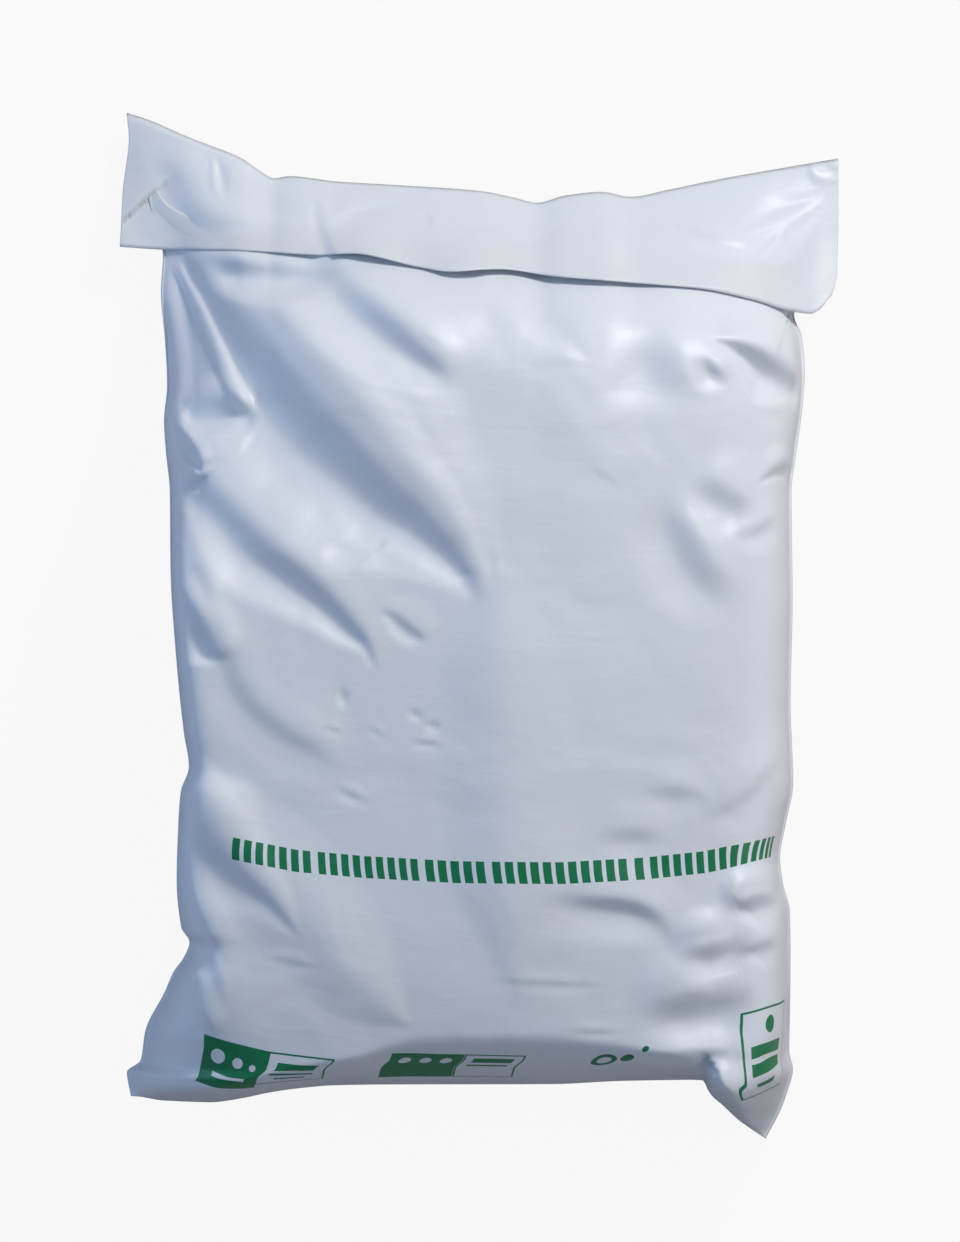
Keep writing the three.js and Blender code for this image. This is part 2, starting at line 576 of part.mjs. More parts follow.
for (let i = 0; i < cells_across; i += 1) {
  cell(outer[cells_flap][i], under[cells_flap][i], under[cells_flap][i + 1], outer[cells_flap][i + 1], false);
}

// The part's origin is in the middle of its plan box, on the ground.
const box = new THREE.Box3().setFromArray(vertices);
const shift_x = (box.min.x + box.max.x) / 2;
const shift_y = (box.min.y + box.max.y) / 2;
for (let i = 0; i < vertices.length; i += 3) {
  vertices[i] -= shift_x;
  vertices[i + 1] -= shift_y;
}

const shape = new THREE.BufferGeometry();
shape.setAttribute("position", new THREE.Float32BufferAttribute(vertices, 3));
shape.setIndex(faces);
shape.computeVertexNormals();

const film = new THREE.MeshStandardMaterial({ color: 0xdfe4ee, roughness: 0.42, metalness: 0 });
const bag = new THREE.Mesh(shape, film);
bag.name = "mailer_bag";

const group = new THREE.Group();
group.name = "poly_mailer_bag";
group.add(bag);

export default group;
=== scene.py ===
"""Poly mailer bag, filled and lying on its back.

It is an add-on with one builder for the bag and one for the stage. Lengths in the bag's own code are
millimetres. The ways of its folds are written in the frame of the photograph, PHOTO_WIDTH wide, in which one
millimetre is PIXELS_PER_MM wide.
"""
import math

import bpy
import numpy as np
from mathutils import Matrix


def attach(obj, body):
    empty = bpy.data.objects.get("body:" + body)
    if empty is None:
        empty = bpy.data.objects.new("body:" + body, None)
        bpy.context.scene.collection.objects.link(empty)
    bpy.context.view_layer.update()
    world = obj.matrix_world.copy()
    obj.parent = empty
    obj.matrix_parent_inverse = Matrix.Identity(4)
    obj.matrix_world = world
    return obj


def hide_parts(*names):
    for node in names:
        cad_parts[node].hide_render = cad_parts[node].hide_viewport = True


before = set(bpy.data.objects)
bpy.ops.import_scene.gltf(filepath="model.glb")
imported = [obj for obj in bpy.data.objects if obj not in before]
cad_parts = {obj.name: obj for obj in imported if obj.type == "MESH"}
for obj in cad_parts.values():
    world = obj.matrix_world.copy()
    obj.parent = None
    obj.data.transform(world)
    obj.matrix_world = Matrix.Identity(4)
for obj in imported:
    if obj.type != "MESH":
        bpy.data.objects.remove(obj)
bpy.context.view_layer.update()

bl_info = {
    "name": "Poly mailer bag",
    "version": (1, 0, 0),
    "blender": (4, 2, 0),
    "location": "3D View > Sidebar > Mailer bag",
    "description": "Builds a filled film mailer bag and the stage that it is shown on",
    "category": "Add Mesh",
}

MM = 0.001
PHOTO_WIDTH = 960
PIXELS_PER_MM = 2.4
VIEW_CENTRE = (479.5, 623.5)
# Share of the lay length that is below the middle of the frame.
BELOW = 0.507

# Fall of the crown: how far it reaches up from the bottom, mm, where its turn starts, and its sink's power.
BOTTOM_REACH = 80
TURN_START = 0.03
SINK_POWER = 2.2
# The seam at the bottom: how high its middle is lifted and how soon that dies out upwards, mm, and its shape.
BOTTOM_RISE = 22
BOTTOM_FADE = 22
BOTTOM_MIDDLE = 0.9
BOTTOM_POWER = 3
# The back panel: the share of its half width that rests, how far the turns at the bottom and the mouth reach,
# mm, and the powers of its turns.
REST_SHARE = 0.6
REST_ROUND = 36
MOUTH_ROUND = 64
REST_POWER = 1.35
EDGE_POWER = 1.4
# The flap over the front: its gap, its roll over the side edges and its fall past them.
FLAP_GAP = 0.9
FLAP_ROLL = 4
FLAP_ROLL_START = 0.4
FLAP_FALL = 0.12
# Where the folds of the front die out: towards the left and right edges as shares of the half width, towards
# the bottom in mm, and under the flap between two distances below its lower edge, mm.
CLEAR_LEFT = 0.09
CLEAR_RIGHT = 0.035
CLEAR_BOTTOM = 12
CLEAR_FLAP = (-15, 1)
# Pull-in of the bottom corners, left and right, of the top fold's left and of the flap's right corner, mm.
BOTTOM_CORNERS = (4.4, 30.5)
TOP_CORNER = 2.5
FLAP_CORNER = 3.5
# Gap between the two panels near the seams, mm, and the height of the seam over which it builds up.
PANEL_GAP = 0.5
GAP_REACH = 4
# Height over the bottom line under which the print's places no longer follow the turn, mm.
PRINT_LEVEL = 26

# Pull-in of the side edges, mm, at shares of the lay length from the bottom line.
LEFT_EDGE = (
    (-0.012, 4.4), (0.014, 2.7), (0.027, 8.5), (0.06, 10.6), (0.104, 19), (0.126, 22.7), (0.142, 27),
    (0.159, 29.4), (0.175, 26), (0.225, 24.2), (0.291, 25), (0.324, 26), (0.352, 29.4), (0.39, 27.3),
    (0.478, 24), (0.566, 21.9), (0.654, 21.5), (0.698, 19.8), (0.731, 19), (0.77, 20.2), (0.819, 19.2),
    (0.874, 17.3), (0.913, 18), (0.96, 13.5), (1.007, 9), (1.07, 2.5),
)
RIGHT_EDGE = (
    (-0.06, 30.5), (-0.028, 24), (-0.006, 21), (0.016, 19), (0.038, 20.6), (0.126, 20.6), (0.192, 21),
    (0.225, 24), (0.253, 25.2), (0.291, 22.7), (0.335, 19.8), (0.423, 21), (0.533, 20.2), (0.654, 20.6),
    (0.687, 19), (0.753, 15.6), (0.786, 14.8), (0.825, 16), (0.847, 19), (0.88, 15.6), (0.973, 3.5),
    (1.018, 0),
)
# Bottom line, top fold and lower edge of the flap, mm off the straight lay, at shares of the flat width.
BOTTOM_LINE = (
    (0.008, -4.6), (0.03, -5), (0.06, -6), (0.126, -6.2), (0.17, -4.4), (0.21, -1.8), (0.25, 0), (0.3, 1.3),
    (0.36, 1.6), (0.6, 1.8), (0.7, 3.1), (0.79, 3.4), (0.81, 3), (0.818, -2.4), (0.836, -7.5), (0.86, -14.5),
    (0.9, -23),
)
TOP_FOLD = (
    (0.008, 27.6), (0.035, 25), (0.1, 16.7), (0.167, 8.7), (0.2, 2), (0.214, 0), (0.235, 0.9), (0.3, -1.3),
    (0.388, -2.9), (0.5, -5.3), (0.545, -7.9), (0.58, -10.3), (0.62, -7.2), (0.67, -5.7), (0.71, -7.8),
    (0.76, -5), (0.83, -0.6), (0.9, 3.2), (0.999, 8.3),
)
FLAP_EDGE = (
    (0, 21.1), (0.056, 19.9), (0.181, 18.2), (0.292, 16.1), (0.32, 16.5), (0.417, 10.7), (0.459, 8.6),
    (0.528, 9.9), (0.612, 6.5), (0.737, 3.6), (0.806, 1.9), (0.876, -2.2), (0.931, -6.4), (0.959, -7.2),
    (0.972, -5.2), (0.987, 0.3),
)
# Bend of the flap's two ends, mm to the right, at shares of its depth.
FLAP_END_LEFT = ((0, 0), (0.22, 1.5), (0.6, 0), (1, 0))
FLAP_END_RIGHT = ((0, 0), (0.45, 1.3), (0.85, 1.9), (1, 0))
# Gap under the lower edge of the flap, mm, at shares of the flat width.
FLAP_LIFT = (
    (0, 1.6), (0.06, 1.8), (0.12, 2.2), (0.26, 2.2), (0.29, 1.4), (0.35, 6), (0.42, 1.6), (0.49, 7),
    (0.545, 4.6), (0.6, 5), (0.69, 4.2), (0.77, 1.4), (0.93, 1), (0.96, 1.8), (1, 1.8),
)
# Where the mouth lies under the flap, 0 at its lower edge and 1 at the top fold, at shares of the flat width.
FREE_SHARE = (
    (0, 1), (0.02, 0.74), (0.04, 0.5), (0.06, 0.37), (0.1, 0.3), (0.9, 0.3), (0.94, 0.38), (0.96, 0.54),
    (0.98, 0.8), (1, 1),
)
# Height of the side seams as a share of the seam rise, at shares of the lay length.
SEAM_LINE = (
    (-0.06, 0.1), (0, 0.16), (0.05, 0.32), (0.12, 0.63), (0.3, 0.9), (0.55, 1), (0.75, 0.84), (0.87, 0.58),
    (0.95, 0.4), (1.03, 0.27), (1.1, 0.21),
)
# Power of the crown's fall to the sides, at shares of the lay length.
CROWN_POWER = (
    (-0.05, 1), (0.05, 0.8), (0.15, 0.6), (0.3, 0.52), (0.6, 0.5), (0.75, 0.55), (0.85, 0.8), (0.95, 1.1),
    (1.05, 1.3),
)
# How square the crown is towards the left and the right side, and how far it sinks there, at shares of the
# lay length.
SQUARE_LEFT = (
    (-0.05, 4), (0.05, 10), (0.14, 22), (0.3, 50), (0.56, 50), (0.64, 26), (0.72, 16), (0.8, 8), (0.9, 3.4),
    (1.05, 2.7),
)
SQUARE_RIGHT = (
    (-0.05, 4), (-0.02, 8), (0.02, 20), (0.07, 28), (0.14, 24), (0.3, 20), (0.6, 16), (0.72, 12), (0.8, 8),
    (0.9, 4), (1.05, 2.7),
)
SINK_LEFT = ((0, 0.08), (0.5, 0.08), (0.62, 0.24), (0.75, 0.48), (0.9, 0.54))
SINK_RIGHT = ((0, 0.16), (0.15, 0.26), (0.6, 0.28), (0.9, 0.3))
# How far the crown sinks towards the bottom, and the radius of the turn there, mm, at shares of the width.
BOTTOM_SLOPE = ((0.1, 0.16), (0.45, 0.14), (0.62, 0.08), (0.9, 0.04))
BOTTOM_ROUND = ((0.05, 9), (0.2, 11), (0.32, 15), (0.42, 24), (0.6, 25), (0.7, 19), (0.78, 13), (0.86, 10))
# How full the bag is towards the top fold, at shares of the lay length down from it.
CROWN_TOP = (
    (0, 0), (0.035, 0.15), (0.08, 0.43), (0.132, 0.72), (0.16, 0.79), (0.21, 0.86), (0.3, 0.92),
    (0.45, 0.975), (0.63, 1),
)
# Where the cells across and along lie, closer together near the edges.
ACROSS_STEPS = (
    (0, 0), (0.03, 0.012), (0.07, 0.031), (0.12, 0.062), (0.2, 0.13), (0.5, 0.5), (0.8, 0.87), (0.88, 0.938),
    (0.93, 0.969), (0.97, 0.988), (1, 1),
)
ALONG_STEPS = ((0, 0), (0.025, 0.004), (0.05, 0.012), (0.09, 0.033), (0.14, 0.07), (0.2, 0.125), (1, 1))

# Folds of the front panel: the way of the crest or crease, its section as mm to the left of the way and mm of
# height, its size along the way, and for a soft one the share of the way over which each end dies out.
PANEL_FOLDS = (
    # The long crest from the upper left corner to the middle, with its wide slope.
    (((172, 232), (196, 250), (224, 270), (254, 298), (283, 327), (309, 357), (333, 385), (360, 416),
      (390, 452), (412, 477), (437, 502), (462, 540), (478, 572), (483, 606)),
     ((-66, 0), (-46, -3.2), (-26, -7.8), (-4, 4.2), (4, 5.8), (18, 3), (42, 0)),
     ((0, 0.5), (0.12, 0.72), (0.25, 0.92), (0.4, 1.15), (0.5, 1.2), (0.6, 1.06), (0.7, 0.86), (0.8, 0.64),
      (0.9, 0.36), (1, 0.1)), 0.08),
    # The narrow strip at the upper left.
    (((172, 256), (179, 270), (190, 292), (204, 318), (219, 350), (233, 382), (245, 404), (254, 420)),
     ((-34, 0), (-22, -4.6), (-4.6, -0.9), (-1.8, 2.4), (1, 3.2), (2.2, 2.6), (5.6, -1.2), (14, 0)),
     ((0, 0.6), (0.3, 0.85), (0.75, 0.95), (1, 0.7)), 0.1),
    # The crease that runs in from the left edge.
    (((182, 420), (212, 421), (238, 421), (262, 424)),
     ((-18, 0), (-8, 1.2), (0, -3), (12, 2.4), (22, 0)),
     ((0, 0.6), (0.4, 1), (0.8, 0.9), (1, 0.4)), 0.15),
    # The second crest.
    (((180, 422), (196, 441), (210, 464), (238, 492), (268, 522), (304, 556), (337, 588), (362, 620),
      (373, 638), (377, 654)),
     ((-44, 0), (-21, -6), (-3, 4.6), (1, 5.4), (26, 2.6), (60, 0)),
     ((0, 0.24), (0.12, 0.62), (0.3, 0.78), (0.45, 0.78), (0.6, 0.66), (0.75, 0.5), (0.88, 0.34), (1, 0.1))),
    # The torn-looking nick where the second crest meets the left edge.
    (((178, 424), (190, 436), (203, 452), (206, 466)),
     ((-9, 0), (-4, -3.4), (0, 2.6), (6, 0.8), (14, 0)),
     ((0, 0.4), (0.5, 1), (0.85, 1), (1, 0.4))),
    (((186, 484), (198, 477), (212, 474)),
     ((-9, 0), (-4, -2.4), (0, 1.6), (7, 0)),
     ((0, 0.5), (0.6, 1), (1, 0.3))),
    # The soft band from the left edge to the dimples.
    (((226, 596), (238, 640), (260, 688), (290, 716), (322, 736), (350, 762)),
     ((-24, 0), (-10, -0.9), (-1, 1.3), (1, 1.4), (12, 0.4), (24, 0)),
     ((0, 0.6), (0.4, 1), (0.7, 1), (1, 0.6)), 0.25),
    (((182, 580), (203, 600), (219, 626), (231, 660)),
     ((-28, 0), (-12, -4.2), (0, 2.4), (14, 0)),
     ((0, 0.6), (0.5, 0.95), (0.8, 0.8), (1, 0.3)), 0.12),
    (((186, 498), (204, 540), (218, 578), (228, 612)),
     ((-20, 0), (-8, -1.1), (0, 1.1), (14, 0)),
     ((0, 0.6), (0.5, 1), (1, 0.6)), 0.35),
    (((382, 604), (403, 613), (421, 627), (431, 640)),
     ((-11, 0), (-5, -1.2), (0, 0.9), (12, 0)),
     ((0, 0.4), (0.6, 1), (0.85, 0.8), (1, 0.4)), 0.2),
    # The crest under the flap and the soft band that it ends in.
    (((204, 246), (248, 251), (292, 257), (340, 266)),
     ((-24, 0), (-13, -7), (-2, 4.6), (3, 4.6), (14, 0)),
     ((0, 0.8), (0.5, 1), (0.8, 0.8), (1, 0.6)), 0.3),
    (((318, 212), (334, 240), (352, 264), (375, 289), (402, 315), (428, 341), (448, 364), (466, 390)),
     ((-38, 0), (-17, -6), (-2, 4.4), (2, 5), (18, 2.4), (44, 0)),
     ((0, 0.9), (0.4, 0.95), (0.6, 0.9), (0.75, 0.75), (0.9, 0.5), (1, 0.4)), 0.2),
    (((440, 350), (490, 385), (540, 424), (590, 466)),
     ((-46, 0), (-14, -0.8), (12, 0.5), (46, 0)),
     ((0, 0.3), (0.5, 1), (1, 0.4))),
    (((498, 284), (540, 320), (584, 360)),
     ((-24, 0), (-10, 0.9), (0, -0.6), (12, 0)),
     ((0, 0.5), (0.6, 1), (1, 0.2))),
    # The crest at the lower left, with the shaded slope left of it.
    (((198, 776), (214, 806), (232, 834), (256, 862), (280, 888), (303, 924)),
     ((-34, 0), (-13, -1.8), (-2, 2.7), (1, 3.1), (18, 0)),
     ((0, 0.7), (0.2, 1.3), (0.45, 1), (0.75, 0.5), (1, 0.1))),
    # The bright band beside it runs on and ends in a point.
    (((200, 772), (229, 808), (262, 850), (298, 898), (330, 938), (364, 978), (405, 1012)),
     ((-22, 0), (-3, 2.6), (1, 3), (28, 0)),
     ((0, 0.3), (0.2, 0.8), (0.5, 1.1), (0.75, 0.95), (0.9, 0.6), (1, 0.15))),
    (((272, 948), (292, 952), (320, 958)),
     ((-6, 0), (-1.5, -0.3), (1.5, 0.3), (6, 0)),
     ((0, 0.4), (0.5, 1), (1, 0.4))),
    (((190, 862), (208, 906), (224, 952), (238, 1004)),
     ((-18, 0), (-7, -1.6), (0, 1.5), (14, 0)),
     ((0, 0.6), (0.5, 1), (1, 0.6)), 0.35),
    (((192, 940), (206, 972), (210, 1002), (221, 1028)),
     ((-20, 0), (-7, -2.4), (0, 2), (14, 0)),
     ((0, 0.7), (0.5, 1), (1, 0.4)), 0.15),
    (((171, 978), (184, 971), (199, 962)),
     ((-6, 0), (-2, 1), (0, -1.4), (2, 1), (6, 0)),
     ((0, 0.8), (0.5, 1), (1, 0.5))),
    # Puckers of the right edge, from the flap down.
    (((714, 341), (740, 340), (765, 345), (786, 355), (808, 372)),
     ((-25, 0), (-15, -9), (-1, 7), (1, 7.2), (16, 3.4), (36, 0)),
     ((0, 0.12), (0.3, 0.7), (0.6, 1.05), (0.85, 1), (1, 0.8))),
    (((696, 350), (712, 368), (730, 386)),
     ((-14, 0), (-5, -2), (1, 1.8), (12, 0)),
     ((0, 0.7), (0.5, 1), (1, 0.7)), 0.5),
    (((650, 318), (674, 360), (694, 412)),
     ((-40, 0), (-15, -2.2), (4, 1.9), (34, 0)),
     ((0, 0.7), (0.5, 1), (1, 0.7)), 0.45),
    (((748, 408), (772, 403), (798, 410)),
     ((-15, 0), (-5, -0.9), (1, 0.8), (12, 0)),
     ((0, 0.7), (0.5, 1), (1, 0.7)), 0.4),
    (((760, 476), (771, 465), (784, 461), (798, 464)),
     ((-15, 0), (-6, -3.4), (0, 2.8), (9, 0)),
     ((0, 0.3), (0.5, 1), (1, 1))),
    (((688, 466), (724, 484), (766, 508)),
     ((-26, 0), (-12, -2.2), (0, 1.9), (18, 0)),
     ((0, 0.8), (0.5, 1), (1, 0.8)), 0.4),
    (((672, 482), (692, 524), (714, 562), (744, 600)),
     ((-34, 0), (-15, -2.2), (0, 2), (8, 0.9), (22, 0)),
     ((0, 0.8), (0.5, 1), (1, 0.8)), 0.35),
    (((724, 536), (748, 524), (776, 508)),
     ((-14, 0), (-6, -1.3), (0, 1.1), (10, 0)),
     ((0, 0.6), (0.5, 1), (1, 0.7)), 0.4),
    # The waves at the lower right.
    (((534, 880), (586, 885), (632, 891), (656, 903), (672, 924), (682, 948)),
     ((-24, 0), (-9, -2.2), (0, 2.3), (7, 1.4), (18, 0)),
     ((0, 0.9), (0.6, 0.9), (0.8, 0.8), (1, 0.9)), 0.45),
    (((664, 946), (690, 936), (716, 928), (742, 914)),
     ((-26, 0), (-10, -3.6), (0, 3), (4, 3), (16, 0)),
     ((0, 0.7), (0.5, 1), (1, 0.7)), 0.45),
    (((716, 904), (736, 888), (760, 881), (790, 884)),
     ((-24, 0), (-11, -3.4), (-1, 4), (3, 4), (14, 0)),
     ((0, 0.3), (0.4, 0.9), (1, 0.8)), 0.3),
    (((728, 952), (744, 936), (762, 930), (786, 934)),
     ((-18, 0), (-7, -1.8), (0, 1.6), (12, 0)),
     ((0, 0.4), (0.5, 1), (1, 0.7)), 0.35),
    (((620, 1000), (664, 984), (712, 970), (766, 966)),
     ((-34, 0), (-16, -3.8), (0, 3.2), (6, 2.8), (20, 0)),
     ((0, 0.7), (0.5, 1), (1, 0.8)), 0.4),
    (((628, 1036), (664, 1037), (706, 1035), (750, 1040)),
     ((-16, 0), (-7, -1.2), (-1, 1.8), (2, 1.6), (12, 0)),
     ((0, 0.5), (0.5, 1), (1, 0.6)), 0.4),
    (((556, 1019), (590, 1021), (624, 1021)),
     ((-5, 0), (-1.5, -0.3), (1, 0.3), (5, 0)),
     ((0, 0.6), (0.5, 1), (1, 0.6)), 0.4),
    (((480, 969), (550, 973), (620, 975)),
     ((-6, 0), (-1.6, -0.3), (0.6, 0.3), (5, 0)),
     ((0, 0.4), (0.5, 1), (1, 0.4)), 0.4),
    # Soft puckers over the print at the right, and one along the right side.
    (((586, 832), (630, 824), (670, 832)),
     ((-18, 0), (-6, -1), (2, 0.9), (16, 0)),
     ((0, 0.6), (0.5, 1), (1, 0.6)), 0.45),
    (((636, 788), (672, 784), (710, 790)),
     ((-15, 0), (-5, -0.8), (2, 0.7), (13, 0)),
     ((0, 0.6), (0.5, 1), (1, 0.6)), 0.45),
    (((694, 816), (728, 796), (756, 768), (784, 742)),
     ((-18, 0), (-6, -1.3), (2, 1.2), (16, 0)),
     ((0, 0.6), (0.5, 1), (1, 0.7)), 0.4),
    # The turned corner at the bottom right.
    (((718, 1070), (733, 1092), (760, 1101), (788, 1096)),
     ((-15, 0), (-8, -4), (0, 3.4), (12, 0)),
     ((0, 1), (0.4, 1.1), (1, 0.5))),
    (((724, 1100), (745, 1112), (766, 1136)),
     ((-12, 0), (-4, 1.4), (1, -1.6), (10, 0)),
     ((0, 0.4), (0.5, 1), (1, 0.5))),
    # The broad soft crest down the middle.
    (((497, 590), (503, 700), (508, 800), (514, 960)),
     ((-60, 0), (-30, 0.4), (0, 4.2), (34, 1.2), (70, 0)),
     ((0, 0.4), (0.2, 0.9), (0.7, 1), (1, 0.3))),
    # Dimples and short creases in the middle.
    (((345, 688), (347, 703)), ((-3, 0), (0, -1.2), (3, 0)), ((0, 0.6), (0.5, 1), (1, 0.5))),
    (((412, 709), (421, 714)), ((-3, 0), (0, -1), (3, 0)), ((0, 0.6), (0.5, 1), (1, 0.6))),
    (((430, 722), (438, 724)), ((-3, 0), (0, -1), (3, 0)), ((0, 0.6), (0.5, 1), (1, 0.6))),
    (((330, 723), (344, 728)), ((-3, 0), (-1, -0.5), (1, 0.5), (3, 0)), ((0, 0.5), (0.5, 1), (1, 0.5))),
    (((374, 724), (386, 732)), ((-3, 0), (-1, -0.5), (1, 0.5), (3, 0)), ((0, 0.5), (0.5, 1), (1, 0.5))),
    (((411, 738), (430, 738), (446, 742)), ((-4, 0), (-1, -0.5), (1, 0.5), (4, 0)),
     ((0, 0.8), (0.5, 1), (1, 0.8)), 0.4),
    (((334, 779), (355, 789), (378, 799)), ((-5, 0), (-1.5, -0.6), (1.5, 0.5), (5, 0)),
     ((0, 0.8), (0.5, 1), (1, 0.8)), 0.5),
)

# Folds of the flap, written in the same way.
FLAP_FOLDS = (
    (((146, 138), (170, 150), (187, 161), (197, 182), (207, 200), (230, 211), (258, 218), (290, 232),
      (325, 252)),
     ((-46, 0), (-28, -2.2), (-14, -2.9), (-3, 0.8), (0, 1.1), (10, 0)),
     ((0, 0.5), (0.3, 1), (0.6, 0.8), (1, 0.3)), 0.3),
    (((216, 160), (219, 176), (223, 198)), ((-5, 0), (-2, 0.8), (0.6, -1.1), (5, 0)),
     ((0, 0.5), (0.5, 1), (1, 0.3))),
    (((317, 196), (321, 222), (326, 240), (333, 257)), ((-7, 0), (-1.6, -1.5), (1.8, 1.2), (12, 0)),
     ((0, 0.2), (0.6, 1), (1, 0.8))),
    (((327, 226), (358, 208), (404, 198)), ((-12, 0), (-2, -0.8), (2, 0.8), (12, 0)),
     ((0, 0.1), (0.4, 1), (1, 0.2))),
    (((428, 210), (434, 230)), ((-5, 0), (-1.5, -0.8), (1.5, 0.7), (5, 0)), ((0, 0.5), (0.5, 1), (1, 0.5))),
    (((680, 226), (715, 240), (756, 249)), ((-9, 0), (-2, -1.2), (2, 1), (9, 0)),
     ((0, 0.4), (0.5, 1), (1, 0.3))),
    (((745, 228), (780, 213), (815, 199)), ((-10, 0), (-3, 1.2), (2, -1.2), (10, 0)),
     ((0, 0.3), (0.5, 1), (1, 0.4))),
    (((746, 266), (763, 248), (782, 227)), ((-8, 0), (-2, 1), (2, -1), (8, 0)),
     ((0, 0.4), (0.5, 1), (1, 0.4))),
    (((812, 160), (820, 168), (834, 172)), ((-6, 0), (-2, 1), (2, -1), (6, 0)),
     ((0, 0.5), (0.5, 1), (1, 0.5))),
)

# The line that the print keeps to on the front panel, in the frame of the photograph.
PRINT_LINE = (
    (160, 821), (200, 831), (234, 841), (300, 854), (365, 860), (455, 865), (560, 866), (640, 862),
    (700, 856), (772, 841), (800, 831),
)


# Shape

def curve(points, at, flat_ends=False):
    """A smooth line through given points, flat where they turn back."""
    knots = np.array([p[0] for p in points], float)
    values = np.array([p[1] for p in points], float)
    t = np.clip(at, knots[0], knots[-1])
    rise = np.diff(values) / np.diff(knots)
    slope = np.zeros(len(knots))
    if not flat_ends:
        slope[0], slope[-1] = rise[0], rise[-1]
    for i in range(1, len(knots) - 1):
        a, b = rise[i - 1], rise[i]
        slope[i] = 0 if a * b <= 0 else 2 * a * b / (a + b)
    i = np.clip(np.searchsorted(knots, t, side="right") - 1, 0, len(knots) - 2)
    width = knots[i + 1] - knots[i]
    s = (t - knots[i]) / width
    low = values[i] * (1 + 2 * s) * (1 - s) ** 2 + slope[i] * width * s * (1 - s) ** 2
    return low + values[i + 1] * s * s * (3 - 2 * s) + slope[i + 1] * width * s * s * (s - 1)


def ease(low, high, t):
    s = np.clip((t - low) / (high - low), 0, 1)
    return s * s * (3 - 2 * s)


def mix(a, b, t):
    return a + (b - a) * t


def seen_at(px, py):
    """Place on the plan, mm, of a pixel of the photograph."""
    return (px - VIEW_CENTRE[0]) / PIXELS_PER_MM, (VIEW_CENTRE[1] - py) / PIXELS_PER_MM


def rounded_way(points, steps=26):
    """A way rounded through its points, as an array of places in mm."""
    p = np.array([seen_at(*one) for one in points])
    if len(p) == 2:
        return p
    ends = np.vstack([2 * p[0] - p[1], p, 2 * p[-1] - p[-2]])
    out = []
    per = max(steps // (len(p) - 1), 2)
    for i in range(len(p) - 1):
        a, b, c, d = ends[i:i + 4]
        for s in np.linspace(0, 1, per, endpoint=False):
            out.append(0.5 * (2 * b + (c - a) * s + (2 * a - 5 * b + 4 * c - d) * s * s
                              + (3 * b - a - 3 * c + d) * s ** 3))
    out.append(p[-1])
    return np.array(out)


def beside(way, x, y):
    """Distance to the left of a way, and the share of the way passed there."""
    steps = np.diff(way, axis=0)
    long = np.hypot(steps[:, 0], steps[:, 1])
    passed = np.concatenate([[0], np.cumsum(long)])
    near = np.full(x.shape, np.inf)
    off = np.zeros(x.shape)
    share = np.zeros(x.shape)
    for i, (dx, dy) in enumerate(steps / long[:, None]):
        rx, ry = x - way[i, 0], y - way[i, 1]
        along = np.clip(rx * dx + ry * dy, 0, long[i])
        away = np.hypot(rx - along * dx, ry - along * dy)
        nearer = away < near
        near = np.where(nearer, away, near)
        off = np.where(nearer, np.where(dx * ry - dy * rx < 0, -away, away), off)
        share = np.where(nearer, (passed[i] + along) / passed[-1], share)
    return off, share


def folded(folds, x, y):
    height = np.zeros(x.shape)
    for way, section, sizes, *soft in folds:
        line = rounded_way(way)
        largest = max(s for _, s in sizes)
        reach = max(-section[0][0], section[-1][0]) * largest
        lo, hi = line.min(axis=0) - reach, line.max(axis=0) + reach
        close = (x > lo[0]) & (x < hi[0]) & (y > lo[1]) & (y < hi[1])
        off, share = beside(line, x[close], y[close])
        size = curve(sizes, share)
        at = off / size
        inside = (at > section[0][0]) & (at < section[-1][0])
        raised = np.where(inside, curve(section, at, flat_ends=True) * size, 0)
        for dying in soft:
            raised = raised * ease(0, dying, share) * ease(0, dying, 1 - share)
        height[close] += raised
    return height


